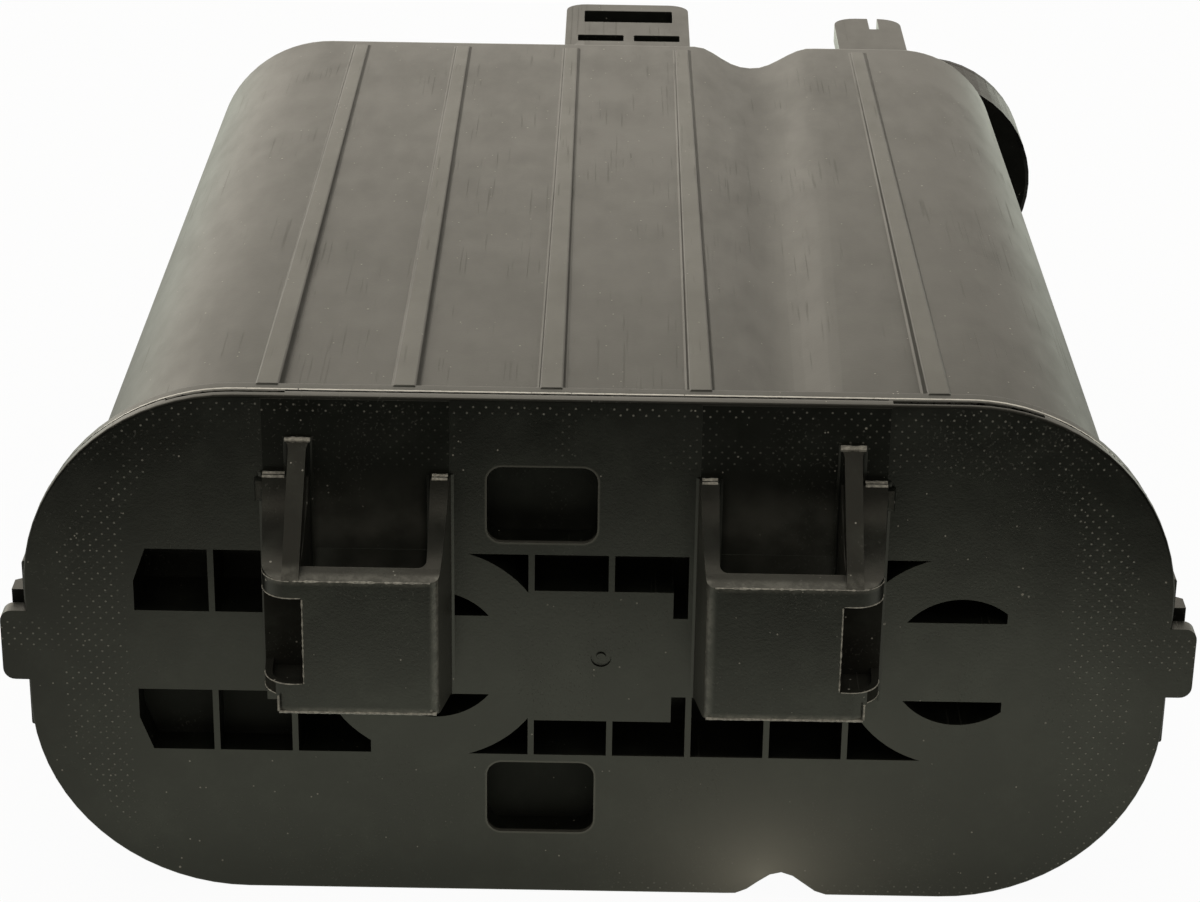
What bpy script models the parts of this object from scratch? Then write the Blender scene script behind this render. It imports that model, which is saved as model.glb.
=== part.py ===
# Charcoal canister: moulded housing, welded end cover with two mounting brackets, and the
# sprung charcoal beds and vent filter that it holds.
import math

import bmesh
import bpy

# Driving dimensions in metres. X runs across the canister, Y runs back from the outer face
# of the end cover, and Z is up from the lowest edge of the cover.
cover_width = 0.210
cover_height = 0.1019
cover_corner = 0.0394
cover_skin = 0.0026
weld_depth = 0.0008
body_length = 0.235
wall = 0.0025
joint_gap = 0.0003
overall_front = -0.020
overall_rear = 0.288

# Positions shared by the housing and the cover
mid_height = 0.05055
main_ring_x = -0.0302
vent_ring_x = 0.06666
partition_x = 0.0353
partition_thickness = 0.0024
partition_front = 0.016
body_rib_positions = (-0.0600, -0.0354, -0.0090, 0.0178, 0.0605)
body_edge = 0.0030
overlap = 0.0010

# Lattice of the cover
lattice_pitch = 0.0146
lattice_start = -0.01225
lattice_rib = 0.00113
pocket_row = (0.0587, 0.0713)
pocket_left = -0.0849
pocket_slant = 0.0024
plain_pad = (-0.0128, 0.0137)
plain_pad_top = 0.0640
filled_from = -0.0420
sliver_limit = 0.0748
ring_inner = 0.01304
ring_outer = 0.02172
pocket_depth = 0.0140
shallow_depth = 0.0064
shallow_to = -0.0571
waffle_back = 0.0160
recess_depth = 0.0058
recess_back = 0.0076
core_bar = (0.0441, 0.0570)
core_margin = 0.0008
core_least = 0.0040
boss_margin = 0.0012
plug_clearance = 0.0005
plug_thickness = 0.0018
plug_rear = 0.0125
spring_channel_inner = 0.0142
spring_channel_outer = 0.0205
spring_radius = 0.01735
spring_wire = 0.0022
spring_turns = 4.5

# Round-cornered recesses above and below the gate mark
recess_x = -0.0101
recess_middle = 0.0509
recess_offset = 0.0303
recess_half_width = 0.0103
recess_half_height = 0.0075
recess_corner = 0.0028
recess_wall = 0.0015
gate_mark = (0.0006, 0.0504)
gate_outer = 0.0019
gate_inner = 0.0009
gate_depth = 0.0004

# Side tabs of the cover and the hooks of the housing behind them
tab_reach = 0.0047
tab_corner = 0.0022
tab_heights = (0.0440, 0.0582)
hook_reach = 0.0032
hook_heights = (0.0460, 0.0600)
hook_rear = (0.0090, 0.0160)
strip_reach = 0.0006
strip_heights = (0.0330, 0.0670)

# Brackets of the cover, measured out from their plane of symmetry
bracket_centre_x = -0.00455
bracket_inner = 0.02245
bracket_outer = 0.05615
bracket_reach = 0.020
bracket_plate = 0.0040
bracket_draft = 0.00115
bracket_root = 0.0010
bracket_shelf = 0.0750
bracket_underside = 0.0490
bracket_foot = 0.0424
bracket_corner_outer = 0.0052
bracket_corner_inner = 0.0020
# Upper surface of the arms, as (y, z) from the shelf back to the cover
arm_curve = ((-0.0160, 0.0760), (-0.0120, 0.0776), (-0.0080, 0.0801), (-0.0045, 0.0832),
             (-0.0020, 0.0865), (-0.0018, 0.0870))
slot_inner = 0.02600
slot_outer = 0.04810
slot_corner = 0.0014
slot_straight = 0.0030
rail_axis = 0.0496
rail_half = 0.0015
rail_root_half = 0.0025
# Rail at stations along y, as (y, top z, half width)
rail_stations = ((-0.0200, 0.0750, rail_half), (-0.0016, 0.0936, rail_half),
                 (-0.0006, 0.0950, rail_root_half), (bracket_root, 0.0950, rail_root_half))
rail_bottom = 0.0600
window_inner = 0.0476
window_floor = -0.0100
window_bottom = 0.0546
window_top = 0.0717
lip_thickness = 0.0013
lip_hollow_bottom = 0.0505
lip_hollow_side = 0.0510
step_inner = 0.0522
step_top = 0.0523
step_floor = -0.0080
bracket_beyond = 0.0600

# Slotted tongue and small locating tongue behind the housing
tongue_root = 0.2300
tongue_waist = 0.2400
tongue_corner_y = 0.2640
tongue_corner = 0.0050
tongue_heights = (0.0860, 0.0956)
tongue_floor = 0.0878
tongue_root_span = (-0.0111, 0.0202)
tongue_waist_span = (-0.0107, 0.0198)
tongue_corner_span = (-0.0048, 0.0140)
tongue_long_slot = (-0.0062, 0.0158)
tongue_long_slot_y = (0.2536, 0.2632)
tongue_short_slots = ((-0.0076, 0.0036), (0.0062, 0.0174))
tongue_short_slot_y = (0.2376, 0.2424)
locator_span = (0.0566, 0.0732)
locator_corner_span = (0.0620, 0.0680)
locator_corner_y = 0.2570
locator_heights = (0.0905, 0.0950)
locator_notch = (0.0652, 0.0676)
locator_notch_front = 0.2530

# Charcoal beds along Y
plate_front = 0.0257
plate_thickness = 0.0032
plate_clearance = 0.0006
seat_height = 0.0020
pad_thickness = 0.0050
bed_rear = 0.2222
cavity_rear = body_length - wall
bed_clearance = 0.0004
port_divider_x = -0.0050
divider_half = 0.0008
standoff_half = 0.0007
main_standoffs = (-0.088, -0.072, -0.056, -0.040, -0.024, -0.008, 0.008, 0.024)
vent_standoffs = (0.0460, 0.0583, 0.0750, 0.0870)

# Vent filter behind the small chamber
vent_axis = (0.0824, 0.0502)
vent_radius = 0.0272
vent_front = 0.2650
vent_lid_front = 0.2848
vent_wall = 0.0022
vent_edge = 0.0010
skirt_depth = 0.0035
skirt_wall = 0.0015
lid_slot_pitch = 0.0058
lid_slot_half = 0.0014
lid_slot_reach = 0.0212


def clear_scene():
    for item in list(bpy.data.objects):
        bpy.data.objects.remove(item, do_unlink=True)


def plastic(name, colour, roughness, metallic=0.0):
    made = bpy.data.materials.new(name)
    made.use_nodes = True
    shader = made.node_tree.nodes["Principled BSDF"]
    shader.inputs["Base Color"].default_value = (*colour, 1.0)
    shader.inputs["Roughness"].default_value = roughness
    shader.inputs["Metallic"].default_value = metallic
    return made


def new_object(name, mesh):
    made = bpy.data.objects.new(name, mesh)
    bpy.context.scene.collection.objects.link(made)
    return made


def mesh_object(name, shape):
    bmesh.ops.recalc_face_normals(shape, faces=shape.faces[:])
    mesh = bpy.data.meshes.new(name)
    shape.to_mesh(mesh)
    shape.free()
    return new_object(name, mesh)


# Closed solid through a row of loops with equal counts of points
def loft(name, loops, ring=False):
    shape = bmesh.new()
    rows = [[shape.verts.new(point) for point in loop] for loop in loops]
    pairs = list(zip(rows, rows[1:]))
    if ring:
        pairs.append((rows[-1], rows[0]))
    for near, far in pairs:
        for index in range(len(near)):
            following = (index + 1) % len(near)
            shape.faces.new((near[index], near[following], far[following], far[index]))
    if not ring:
        shape.faces.new(rows[0])
        shape.faces.new(rows[-1])
    return mesh_object(name, shape)


def prism_along_y(name, outline, front, rear):
    return loft(name, [[(x, y, z) for x, z in outline] for y in (front, rear)])


def prism_along_z(name, outline, bottom, top):
    return loft(name, [[(x, y, z) for x, y in outline] for z in (bottom, top)])


def prism_along_x(name, outline, left, right):
    return loft(name, [[(x, y, z) for y, z in outline] for x in (left, right)])


def box(name, x_range, y_range, z_range):
    left, right = x_range
    outline = [(left, z_range[0]), (right, z_range[0]), (right, z_range[1]), (left, z_range[1])]
    return prism_along_y(name, outline, *y_range)


# Solid turned about a line parallel to Y; the profile holds (radius, y) points
def turned(name, profile, centre, steps, hollow=False):
    loops = []
    angles = [math.tau * step / steps for step in range(steps)]
    directions = [(math.cos(angle), math.sin(angle)) for angle in angles]
    for radius, y in profile:
        loops.append([(centre[0] + radius * right, y, centre[1] + radius * up) for right, up in directions])
    return loft(name, loops, ring=hollow)


def combine(target, tool, operation):
    modifier = target.modifiers.new(operation.lower(), "BOOLEAN")
    modifier.operation = operation
    modifier.object = tool
    modifier.solver = "EXACT"
    graph = bpy.context.evaluated_depsgraph_get()
    mesh = bpy.data.meshes.new_from_object(target.evaluated_get(graph))
    target.modifiers.clear()
    target.data = mesh
    bpy.data.objects.remove(tool, do_unlink=True)
    return target


def add(target, *tools):
    for tool in tools:
        combine(target, tool, "UNION")
    return target


def cut(target, *tools):
    for tool in tools:
        combine(target, tool, "DIFFERENCE")
    return target


# Several loose solids in one mesh, for a cutter that acts in one step
def gather(name, parts):
    shape = bmesh.new()
    for part in parts:
        shape.from_mesh(part.data)
        bpy.data.objects.remove(part, do_unlink=True)
    return mesh_object(name, shape)


def arc(centre, radius, start, end, steps):
    angles = [math.radians(start + (end - start) * step / steps) for step in range(steps + 1)]
    return [(centre[0] + radius * math.cos(a), centre[1] + radius * math.sin(a)) for a in angles]


# Rectangle with round corners, as (x, z) points
def rounded_rectangle(left, right, bottom, top, radius, steps=4):
    points = arc((right - radius, top - radius), radius, 0, 90, steps)
    points += arc((left + radius, top - radius), radius, 90, 180, steps)
    points += arc((left + radius, bottom + radius), radius, 180, 270, steps)
    points += arc((right - radius, bottom + radius), radius, 270, 360, steps)
    return points


# Depth of the soft groove over the partition at a given x
def groove(x, depth, half_width):
    offset = abs(x - partition_x)
    if offset >= half_width:
        return 0.0
    return depth * math.cos(0.5 * math.pi * offset / half_width) ** 2


class Section:
    # Cross-section of the housing at one place along Y
    def __init__(self, left, right, bottom, top, corner_left, corner_right, depth, half_width):
        self.left = left
        self.right = right
        self.bottom = bottom
        self.top = top
        self.corner_left = corner_left
        self.corner_right = corner_right
        self.depth = depth
        self.half_width = half_width

    def toward(self, other, share):
        values = {}
        for key, value in vars(self).items():
            values[key] = value + (getattr(other, key) - value) * share
        return Section(**values)

    def inset(self, amount):
        values = dict(vars(self))
        values["left"] += amount
        values["right"] -= amount
        values["bottom"] += amount
        values["top"] -= amount
        values["corner_left"] -= amount
        values["corner_right"] -= amount
        return Section(**values)

    def outline(self, corner_steps=7, groove_steps=8, top_depth=None):
        top_depth = self.depth if top_depth is None else top_depth
        shares = [1 - 2 * step / groove_steps for step in range(groove_steps + 1)]
        spread = [partition_x + self.half_width * share for share in shares]
        right = self.right - self.corner_right
        left = self.left + self.corner_left
        points = arc((right, self.top - self.corner_right), self.corner_right, 0, 90, corner_steps)
        points += [(x, self.top - groove(x, top_depth, self.half_width)) for x in spread]
        points += arc((left, self.top - self.corner_left), self.corner_left, 90, 180, corner_steps)
        points += arc((left, self.bottom + self.corner_left), self.corner_left, 180, 270, corner_steps)
        points += [(x, self.bottom + groove(x, self.depth, self.half_width)) for x in reversed(spread)]
        points += arc((right, self.bottom + self.corner_right), self.corner_right, 270, 360, corner_steps)
        return points


cover_section = Section(-cover_width / 2, cover_width / 2, 0.0, cover_height, cover_corner, cover_corner,
                        0.0048, 0.0090)
body_front = Section(-0.0982, 0.0983, 0.0029, 0.0992, 0.0357, 0.0340, 0.0042, 0.0100)
body_back = Section(-0.0960, 0.0950, 0.0059, 0.0960, 0.0284, 0.0240, 0.0053, 0.0140)
flange_front = cover_skin + joint_gap
flange_rear = 0.0056
flange_set_back = 0.0004
# Ribs of the housing, as (y, half width, height)
rib_stations = ((flange_rear - overlap, 0.0024, 0.0015), (0.2290, 0.0018, 0.0003))
rib_root = 0.0012


def body_section(y):
    return body_front.toward(body_back, (y - flange_rear) / (body_length - flange_rear))


# Part of a closed outline on one side of an upright line at x = limit
def clip_outline(points, limit, keep_left):
    sign = 1.0 if keep_left else -1.0
    kept = []
    for index, point in enumerate(points):
        before = points[index - 1]
        inside = sign * (limit - point[0]) > 0
        inside_before = sign * (limit - before[0]) > 0
        if inside != inside_before:
            share = (limit - before[0]) / (point[0] - before[0])
            kept.append((limit, before[1] + (point[1] - before[1]) * share))
        if inside:
            kept.append(point)
    return kept


# Outline of one chamber at y, drawn in from the housing's outer surface
def chamber_outline(y, inset, main_chamber):
    outline = body_section(y).inset(inset).outline(corner_steps=5, groove_steps=6)
    half = partition_thickness / 2 + inset - wall
    if main_chamber:
        return clip_outline(outline, partition_x - half, True)
    return clip_outline(outline, partition_x + half, False)


def chamber_solid(name, front, rear, inset, main_chamber):
    loops = []
    for y in (front, rear):
        loops.append([(x, y, z) for x, z in chamber_outline(y, inset, main_chamber)])
    return loft(name, loops)


def body_ribs():
    ribs = []
    for centre in body_rib_positions:
        for lower in (False, True):
            loops = []
            for y, half, top in rib_stations:
                section = body_section(y)
                near = section.bottom - top if lower else section.top + top
                deep = section.bottom + rib_root if lower else section.top - rib_root
                loops.append([(centre - half, y, deep), (centre + half, y, deep),
                              (centre + half * 0.9, y, near), (centre - half * 0.9, y, near)])
            ribs.append(loft("rib", loops))
    return ribs


def rear_tongue():
    outline = [(tongue_root_span[1], tongue_root), (tongue_waist_span[1], tongue_waist)]
    outline += arc((tongue_corner_span[1], tongue_corner_y), tongue_corner, 0, 90, 4)
    outline += arc((tongue_corner_span[0], tongue_corner_y), tongue_corner, 90, 180, 4)
    outline += [(tongue_waist_span[0], tongue_waist), (tongue_root_span[0], tongue_root)]
    tongue = prism_along_z("tongue", outline, *tongue_heights)
    open_up = (tongue_floor, 0.1)
    slots = [box("long_slot", tongue_long_slot, tongue_long_slot_y, open_up)]
    slots += [box("short_slot", x_range, tongue_short_slot_y, open_up) for x_range in tongue_short_slots]
    return cut(tongue, gather("tongue_slots", slots))


def locating_tongue():
    outline = [(locator_span[1], tongue_root)]
    outline += arc((locator_corner_span[1], locator_corner_y), tongue_corner, 0, 90, 4)
    outline += arc((locator_corner_span[0], locator_corner_y), tongue_corner, 90, 180, 4)
    outline += [(locator_span[0], tongue_root)]
    tongue = prism_along_z("locating_tongue", outline, *locator_heights)
    return cut(tongue, box("notch", locator_notch, (locator_notch_front, 0.28), (0.08, 0.1)))


# Hose stem with a retaining bead, as (radius, y) points from the rear wall back
def stem_profile(radius, bead, length):
    start = cavity_rear + weld_in
    tip = body_length + length
    bead_middle = tip - 0.01825
    collar = radius + 0.0015
    return [(collar, start), (collar, body_length + 0.0020), (radius, body_length + 0.0035),
            (radius, bead_middle - 0.00175), (bead, bead_middle - 0.00075), (bead, bead_middle + 0.00075),
            (radius, bead_middle + 0.00175), (radius, tip - 0.0012), (radius - 0.0010, tip)]


def side_lugs():
    lugs = []
    edge = cover_width / 2
    for side in (-1, 1):
        strip = sorted((side * (edge - 0.006), side * (edge + strip_reach)))
        lugs.append(box("strip", strip, (flange_front, flange_rear), strip_heights))
        root = side * (edge - 0.008)
        tip = side * (edge + hook_reach)
        front = flange_rear - flange_set_back
        outline = [(root, front), (tip, front), (tip, hook_rear[0]), (root, hook_rear[1])]
        lugs.append(prism_along_z("hook", outline, *hook_heights))
    return lugs


port_stems = {
    "tank": {"centre": (-0.0520, 0.0500), "radius": 0.0079, "bead": 0.0090, "bore": 0.0060, "length": 0.036},
    "purge": {"centre": (0.0130, 0.0500), "radius": 0.0048, "bead": 0.0059, "bore": 0.0028, "length": 0.032},
}
weld_in = 0.0005
vent_socket_radius = 0.0118
vent_socket_draft = 0.0008
vent_socket_bore = 0.0092
vent_socket_rear = 0.2500
vent_neck_radius = 0.0087
vent_neck_bore = 0.0066
groove_radius = 0.0072
seal_groove = (0.2440, 0.2466)
neck_collar = (0.2520, 0.2545)
seal_middle = (0.00822, 0.2453)
seal_half = (0.00070, 0.00095)


def canister_body():
    sections = [(flange_rear - overlap, 0.0)]
    for step in range(4):
        angle = 0.5 * math.pi * step / 3
        sections.append((body_length - body_edge * (1 - math.sin(angle)), body_edge * (1 - math.cos(angle))))
    loops = [[(x, y, z) for x, z in body_section(y).inset(inset).outline()] for y, inset in sections]
    body = loft("canister_body", loops)
    flange = cover_section.inset(flange_set_back).outline(top_depth=0.0)
    add(body, prism_along_y("flange", flange, flange_front, flange_rear))
    add(body, *body_ribs(), *side_lugs(), rear_tongue(), locating_tongue())
    for stem in port_stems.values():
        profile = stem_profile(stem["radius"], stem["bead"], stem["length"])
        add(body, turned("stem", profile, stem["centre"], 20))
    socket = [(vent_socket_radius + vent_socket_draft, cavity_rear + weld_in),
              (vent_socket_radius, vent_socket_rear)]
    add(body, turned("socket", socket, (vent_ring_x, mid_height), 24))
    hollow_body(body)
    return body


def hollow_body(body):
    mouth = body_front.inset(wall).outline(corner_steps=5, groove_steps=6)
    cut(body, prism_along_y("mouth", mouth, 0.0, partition_front))
    plenum_front = bed_rear + joint_gap + pad_thickness + joint_gap
    for main_chamber in (True, False):
        chamber = chamber_solid("chamber", partition_front - 0.001, cavity_rear, wall, main_chamber)
        centres = main_standoffs if main_chamber else vent_standoffs
        standoffs = []
        for x in centres:
            across = (x - standoff_half, x + standoff_half)
            standoffs.append(box("standoff", across, (plenum_front, 0.24), (0.0, 0.11)))
        if main_chamber:
            divider = (port_divider_x - divider_half, port_divider_x + divider_half)
            standoffs.append(box("divider", divider, (bed_rear + joint_gap, 0.24), (0.0, 0.11)))
        cut(chamber, gather("standoffs", standoffs))
        cut(body, chamber)
    for stem in port_stems.values():
        rear = body_length + stem["length"] + 0.001
        bore = [(stem["bore"], cavity_rear - 0.004), (stem["bore"], rear)]
        cut(body, turned("bore", bore, stem["centre"], 20))
    bore = [(vent_socket_bore, cavity_rear - 0.004), (vent_socket_bore, vent_socket_rear + 0.001)]
    cut(body, turned("bore", bore, (vent_ring_x, mid_height), 24))


def lattice_cutter():
    lower, upper = pocket_row
    over = (-0.002, pocket_depth + 0.002)
    tall = (mid_height, upper + 0.01)
    outline = [(pocket_left, lower), (shallow_to, lower), (shallow_to, upper),
               (pocket_left + pocket_slant, upper), (pocket_left, lower + 0.006)]
    row = prism_along_y("row", outline, -0.001, shallow_depth)
    add(row, box("deep_row", (shallow_to, vent_ring_x), (-0.001, pocket_depth), pocket_row))
    walls = []
    for k in range(-4, 5):
        x = lattice_start + lattice_pitch * k
        walls.append(box("lattice_rib", (x - lattice_rib / 2, x + lattice_rib / 2), over, tall))
    cut(row, gather("lattice_ribs", walls))
    for centre_x in (main_ring_x, vent_ring_x):
        cut(row, turned("disc", [(ring_outer, over[0]), (ring_outer, over[1])], (centre_x, mid_height), 40))
    cut(row, box("pad", plain_pad, over, (mid_height, plain_pad_top)))
    cut(row, box("filled", (filled_from, main_ring_x), over, tall))
    parts = [row]
    for centre_x, limit in ((main_ring_x, None), (vent_ring_x, sliver_limit)):
        ends = [(ring_inner, -0.001), (ring_inner, pocket_depth)]
        sliver = turned("sliver", ends, (centre_x, mid_height), 40)
        cut(sliver, box("below", (-0.1, 0.1), over, (0.0, lower)))
        if limit:
            cut(sliver, box("beyond", (limit, 0.1), over, (0.0, 0.1)))
        parts.append(sliver)
    upper_half = gather("upper_pockets", parts)
    lower_half = bmesh.new()
    lower_half.from_mesh(upper_half.data)
    for vertex in lower_half.verts:
        vertex.co.z = 2 * mid_height - vertex.co.z
    for side in (-1, 1):
        ends = sorted(bracket_centre_x + side * distance for distance in (bracket_inner, bracket_outer))
        cut(upper_half, box("closed", ends, over, tall))
    return gather("pockets", [upper_half, mesh_object("lower_pockets", lower_half)])


# Front corner of the bracket in plan, drawn in by an amount from the outer surface
def corner_plan(inset):
    front = -bracket_reach + inset
    side = bracket_outer - bracket_draft - inset
    radius = bracket_corner_outer - inset
    return arc((side - radius, front + radius), radius, 270, 360, 5)


# Room behind the thin lip below the side window, down to the underside
def lip_hollow(across):
    front = -bracket_reach + lip_thickness
    rear = window_floor
    inner = window_inner + 0.0008
    plan = [(inner, rear), (inner, front), *corner_plan(lip_thickness)]
    plan.append((plan[-1][0] + 0.0002, rear))
    outline = [(across(distance), y) for distance, y in plan]
    upper = prism_along_z("hollow", outline, step_top, window_bottom + 0.001)
    lower = box("lower_hollow", sorted((across(inner), across(lip_hollow_side))), (front, rear),
                (lip_hollow_bottom, step_top + 0.0004))
    return add(upper, lower)


# One bracket; side is -1 for the left one and 1 for the right one
def bracket(side):
    def across(distance):
        return bracket_centre_x + side * distance

    reach = bracket_reach
    root = bracket_root
    profile = [(root, bracket_foot), (0.0, bracket_foot), (-reach, bracket_underside),
               (-reach, bracket_shelf), *arm_curve, (root, arm_curve[-1][1])]
    ends = sorted((across(bracket_inner - overlap), across(bracket_outer + overlap)))
    block = prism_along_x("bracket", profile, *ends)
    rail_loops = []
    for y, top, half in rail_stations:
        near = across(rail_axis - half)
        far = across(rail_axis + half)
        rail_loops.append([(near, y, rail_bottom), (far, y, rail_bottom), (far, y, top), (near, y, top)])
    add(block, loft("rail", rail_loops))
    inner_front = bracket_inner + bracket_draft
    small = bracket_corner_inner
    plan = [(bracket_inner, root), (bracket_inner, 0.0)]
    plan += arc((inner_front + small, -reach + small), small, 180, 270, 3)
    plan += corner_plan(0.0)
    plan += [(bracket_outer, 0.0), (bracket_outer, root)]
    outline = [(across(distance), y) for distance, y in plan]
    combine(block, prism_along_z("plan", outline, 0.04, 0.1), "INTERSECT")
    slot_front = -reach + bracket_plate
    behind = root + 0.001
    slot_plan = arc((slot_inner + slot_corner, slot_front + slot_corner), slot_corner, 270, 180, 3)
    slot_plan += [(slot_inner, behind), (rail_axis - rail_root_half, behind),
                  (slot_outer, slot_front + slot_straight), (slot_outer, slot_front)]
    slot = prism_along_z("slot", [(across(distance), y) for distance, y in slot_plan], 0.03, 0.11)
    outside = across(bracket_beyond)
    window = box("window", sorted((across(window_inner), outside)), (-0.03, window_floor),
                 (window_bottom, window_top))
    step = box("step", sorted((across(step_inner), outside)), (-0.03, step_floor), (0.03, step_top))
    return cut(block, slot, lip_hollow(across), window, step)


def cover_tab(side):
    edge = cover_width / 2
    bottom, top = tab_heights
    centre_x = edge + tab_reach - tab_corner
    outline = [(edge - 0.004, bottom)]
    outline += arc((centre_x, bottom + tab_corner), tab_corner, 270, 360, 3)
    outline += arc((centre_x, top - tab_corner), tab_corner, 0, 90, 3)
    outline += [(edge - 0.004, top)]
    return prism_along_y("tab", [(side * x, z) for x, z in outline], 0.0, cover_skin)


# Stiffening block behind the lattice
def waffle():
    front = cover_skin - weld_depth
    outline = rounded_rectangle(-0.0866, 0.0766, 0.0281, 0.0730, 0.003, 3)
    block = prism_along_y("waffle", outline, front, waffle_back)
    for centre_x in (main_ring_x, vent_ring_x):
        boss = [(ring_outer + boss_margin, front), (ring_outer + boss_margin, waffle_back)]
        add(block, turned("boss", boss, (centre_x, mid_height), 40))
    return block


# Spring channels, and the bar of cores between the two rows of pockets, open to the rear
def rear_cores():
    cores = []
    rear = waffle_back + 0.002
    for centre_x in (main_ring_x, vent_ring_x):
        channel = [(spring_channel_inner, cover_skin), (spring_channel_outer, cover_skin),
                   (spring_channel_outer, rear), (spring_channel_inner, rear)]
        cores.append(turned("channel", channel, (centre_x, mid_height), 40, hollow=True))
    clear = ring_outer + boss_margin
    spans = [(pocket_left, main_ring_x - clear), (main_ring_x + clear, vent_ring_x - clear)]
    for left_limit, right_limit in spans:
        for k in range(-5, 4):
            left = max(lattice_start + lattice_pitch * k + core_margin, left_limit)
            right = min(lattice_start + lattice_pitch * (k + 1) - core_margin, right_limit)
            if right - left > core_least:
                cores.append(box("core", (left, right), (cover_skin, rear), core_bar))
    return gather("rear_cores", cores)


# Wall that plugs into the mouth of the housing
def plug_wall():
    outer = body_front.inset(wall + plug_clearance).outline(corner_steps=5, groove_steps=6)
    inner = body_front.inset(wall + plug_clearance + plug_thickness).outline(corner_steps=5, groove_steps=6)
    outer_solid = prism_along_y("plug", outer, cover_skin - weld_depth, plug_rear)
    return cut(outer_solid, prism_along_y("plug_core", inner, 0.0, 0.02))


# Outline of a recess, grown by an amount on every side
def recess_outline(centre_z, grown):
    half_width = recess_half_width + grown
    half_height = recess_half_height + grown
    return rounded_rectangle(recess_x - half_width, recess_x + half_width, centre_z - half_height,
                             centre_z + half_height, recess_corner + grown)


def end_cover():
    cover = prism_along_y("end_cover", cover_section.outline(top_depth=0.0), 0.0, cover_skin)
    add(cover, waffle(), plug_wall())
    for centre_z in (recess_middle - recess_offset, recess_middle + recess_offset):
        add(cover, prism_along_y("recess_box", recess_outline(centre_z, recess_wall), cover_skin - weld_depth,
                                 recess_back))
        cut(cover, prism_along_y("recess", recess_outline(centre_z, 0.0), -overlap, recess_depth))
    cut(cover, lattice_cutter(), rear_cores())
    add(cover, cover_tab(-1), cover_tab(1), bracket(-1), bracket(1))
    dimple = [(gate_outer, -overlap), (gate_outer, gate_depth),
              (gate_inner, gate_depth), (gate_inner, -overlap)]
    cut(cover, turned("gate_ring", dimple, gate_mark, 16, hollow=True))
    return cover


def pressure_plate(name, main_chamber, columns, rows, centre_x):
    front = plate_front
    rear = plate_front + plate_thickness
    plate = chamber_solid(name, front, rear, wall + plate_clearance, main_chamber)
    pitch = 0.0105
    opening = 0.0070
    centre = partition_x - 0.0655 if main_chamber else partition_x + 0.0300
    holes = []
    for column in range(columns):
        for row in range(rows):
            x = centre + pitch * (column - (columns - 1) / 2)
            z = mid_height + pitch * (row - (rows - 1) / 2)
            if not inside_plate(x, z, main_chamber):
                continue
            holes.append(box("hole", (x - opening / 2, x + opening / 2), (front - 0.01, rear + 0.01),
                             (z - opening / 2, z + opening / 2)))
    cut(plate, gather("holes", holes))
    seat_inner = ring_inner + 0.0008
    seat = turned("seat", [(seat_inner, front - seat_height), (spring_channel_inner, front - seat_height),
                           (spring_channel_inner, front + overlap), (seat_inner, front + overlap)],
                  (centre_x, mid_height), 32, hollow=True)
    return add(plate, seat)


# True where a hole of the plate keeps clear of the round corners
def inside_plate(x, z, main_chamber):
    corner_radius = 0.0300
    half_height = 0.0450
    margin = 0.0035
    start = partition_x if main_chamber else 0.0
    length = 0.1235 if main_chamber else 0.0870
    across = max(abs(x - start) - (length - corner_radius), 0.0)
    up = max(abs(z - mid_height) - (half_height - corner_radius), 0.0)
    return math.hypot(across, up) < corner_radius - margin


def coil_spring(name, centre_x):
    curve = bpy.data.curves.new(name, "CURVE")
    curve.dimensions = "3D"
    curve.bevel_depth = spring_wire / 2
    curve.bevel_resolution = 1
    curve.use_fill_caps = True
    start = cover_skin + joint_gap + spring_wire / 2
    end = plate_front - joint_gap - spring_wire / 2
    flat = 0.75
    closed_pitch = spring_wire * 1.02
    per_turn = 20
    count = int(spring_turns * per_turn)
    spline = curve.splines.new("POLY")
    spline.points.add(count)
    for index in range(count + 1):
        turn = index / per_turn
        share = min(max((turn - flat) / (spring_turns - 2 * flat), 0.0), 1.0)
        lead = closed_pitch * (min(turn, flat) + max(turn - (spring_turns - flat), 0.0)) / flat
        y = start + lead + (end - start - 2 * closed_pitch) * share
        angle = math.tau * turn
        x = centre_x + spring_radius * math.cos(angle)
        z = mid_height + spring_radius * math.sin(angle)
        spline.points[index].co = (x, y, z, 1.0)
    return new_object(name, curve)


def pad(name, front, main_chamber, x_range=None):
    made = chamber_solid(name, front, front + pad_thickness, wall + bed_clearance, main_chamber)
    if x_range:
        combine(made, box("keep", x_range, (0.0, 0.3), (-0.01, 0.12)), "INTERSECT")
    return made


def vent_filter_housing():
    profile = [(vent_radius - vent_edge, vent_front), (vent_radius, vent_front + vent_edge),
               (vent_radius, vent_lid_front)]
    housing = turned("vent_filter_housing", profile, vent_axis, 48)
    neck_centre = (vent_ring_x, mid_height)
    groove_front, groove_rear = seal_groove
    collar_front, collar_rear = neck_collar
    neck = [(vent_neck_radius, cavity_rear + 0.0040), (vent_neck_radius, groove_front),
            (groove_radius, groove_front), (groove_radius, groove_rear), (vent_neck_radius, groove_rear),
            (vent_neck_radius, collar_front), (vent_socket_radius, collar_front),
            (vent_socket_radius, collar_rear), (vent_neck_radius, collar_rear + 0.0015),
            (vent_neck_radius, vent_front + overlap)]
    add(housing, turned("neck", neck, neck_centre, 24))
    inside = [(vent_radius - vent_wall, vent_front + vent_wall), (vent_radius - vent_wall, 0.29)]
    bore = [(vent_neck_bore, 0.23), (vent_neck_bore, vent_front + 0.003)]
    return cut(housing, turned("inside", inside, vent_axis, 48), turned("neck_bore", bore, neck_centre, 24))


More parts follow.
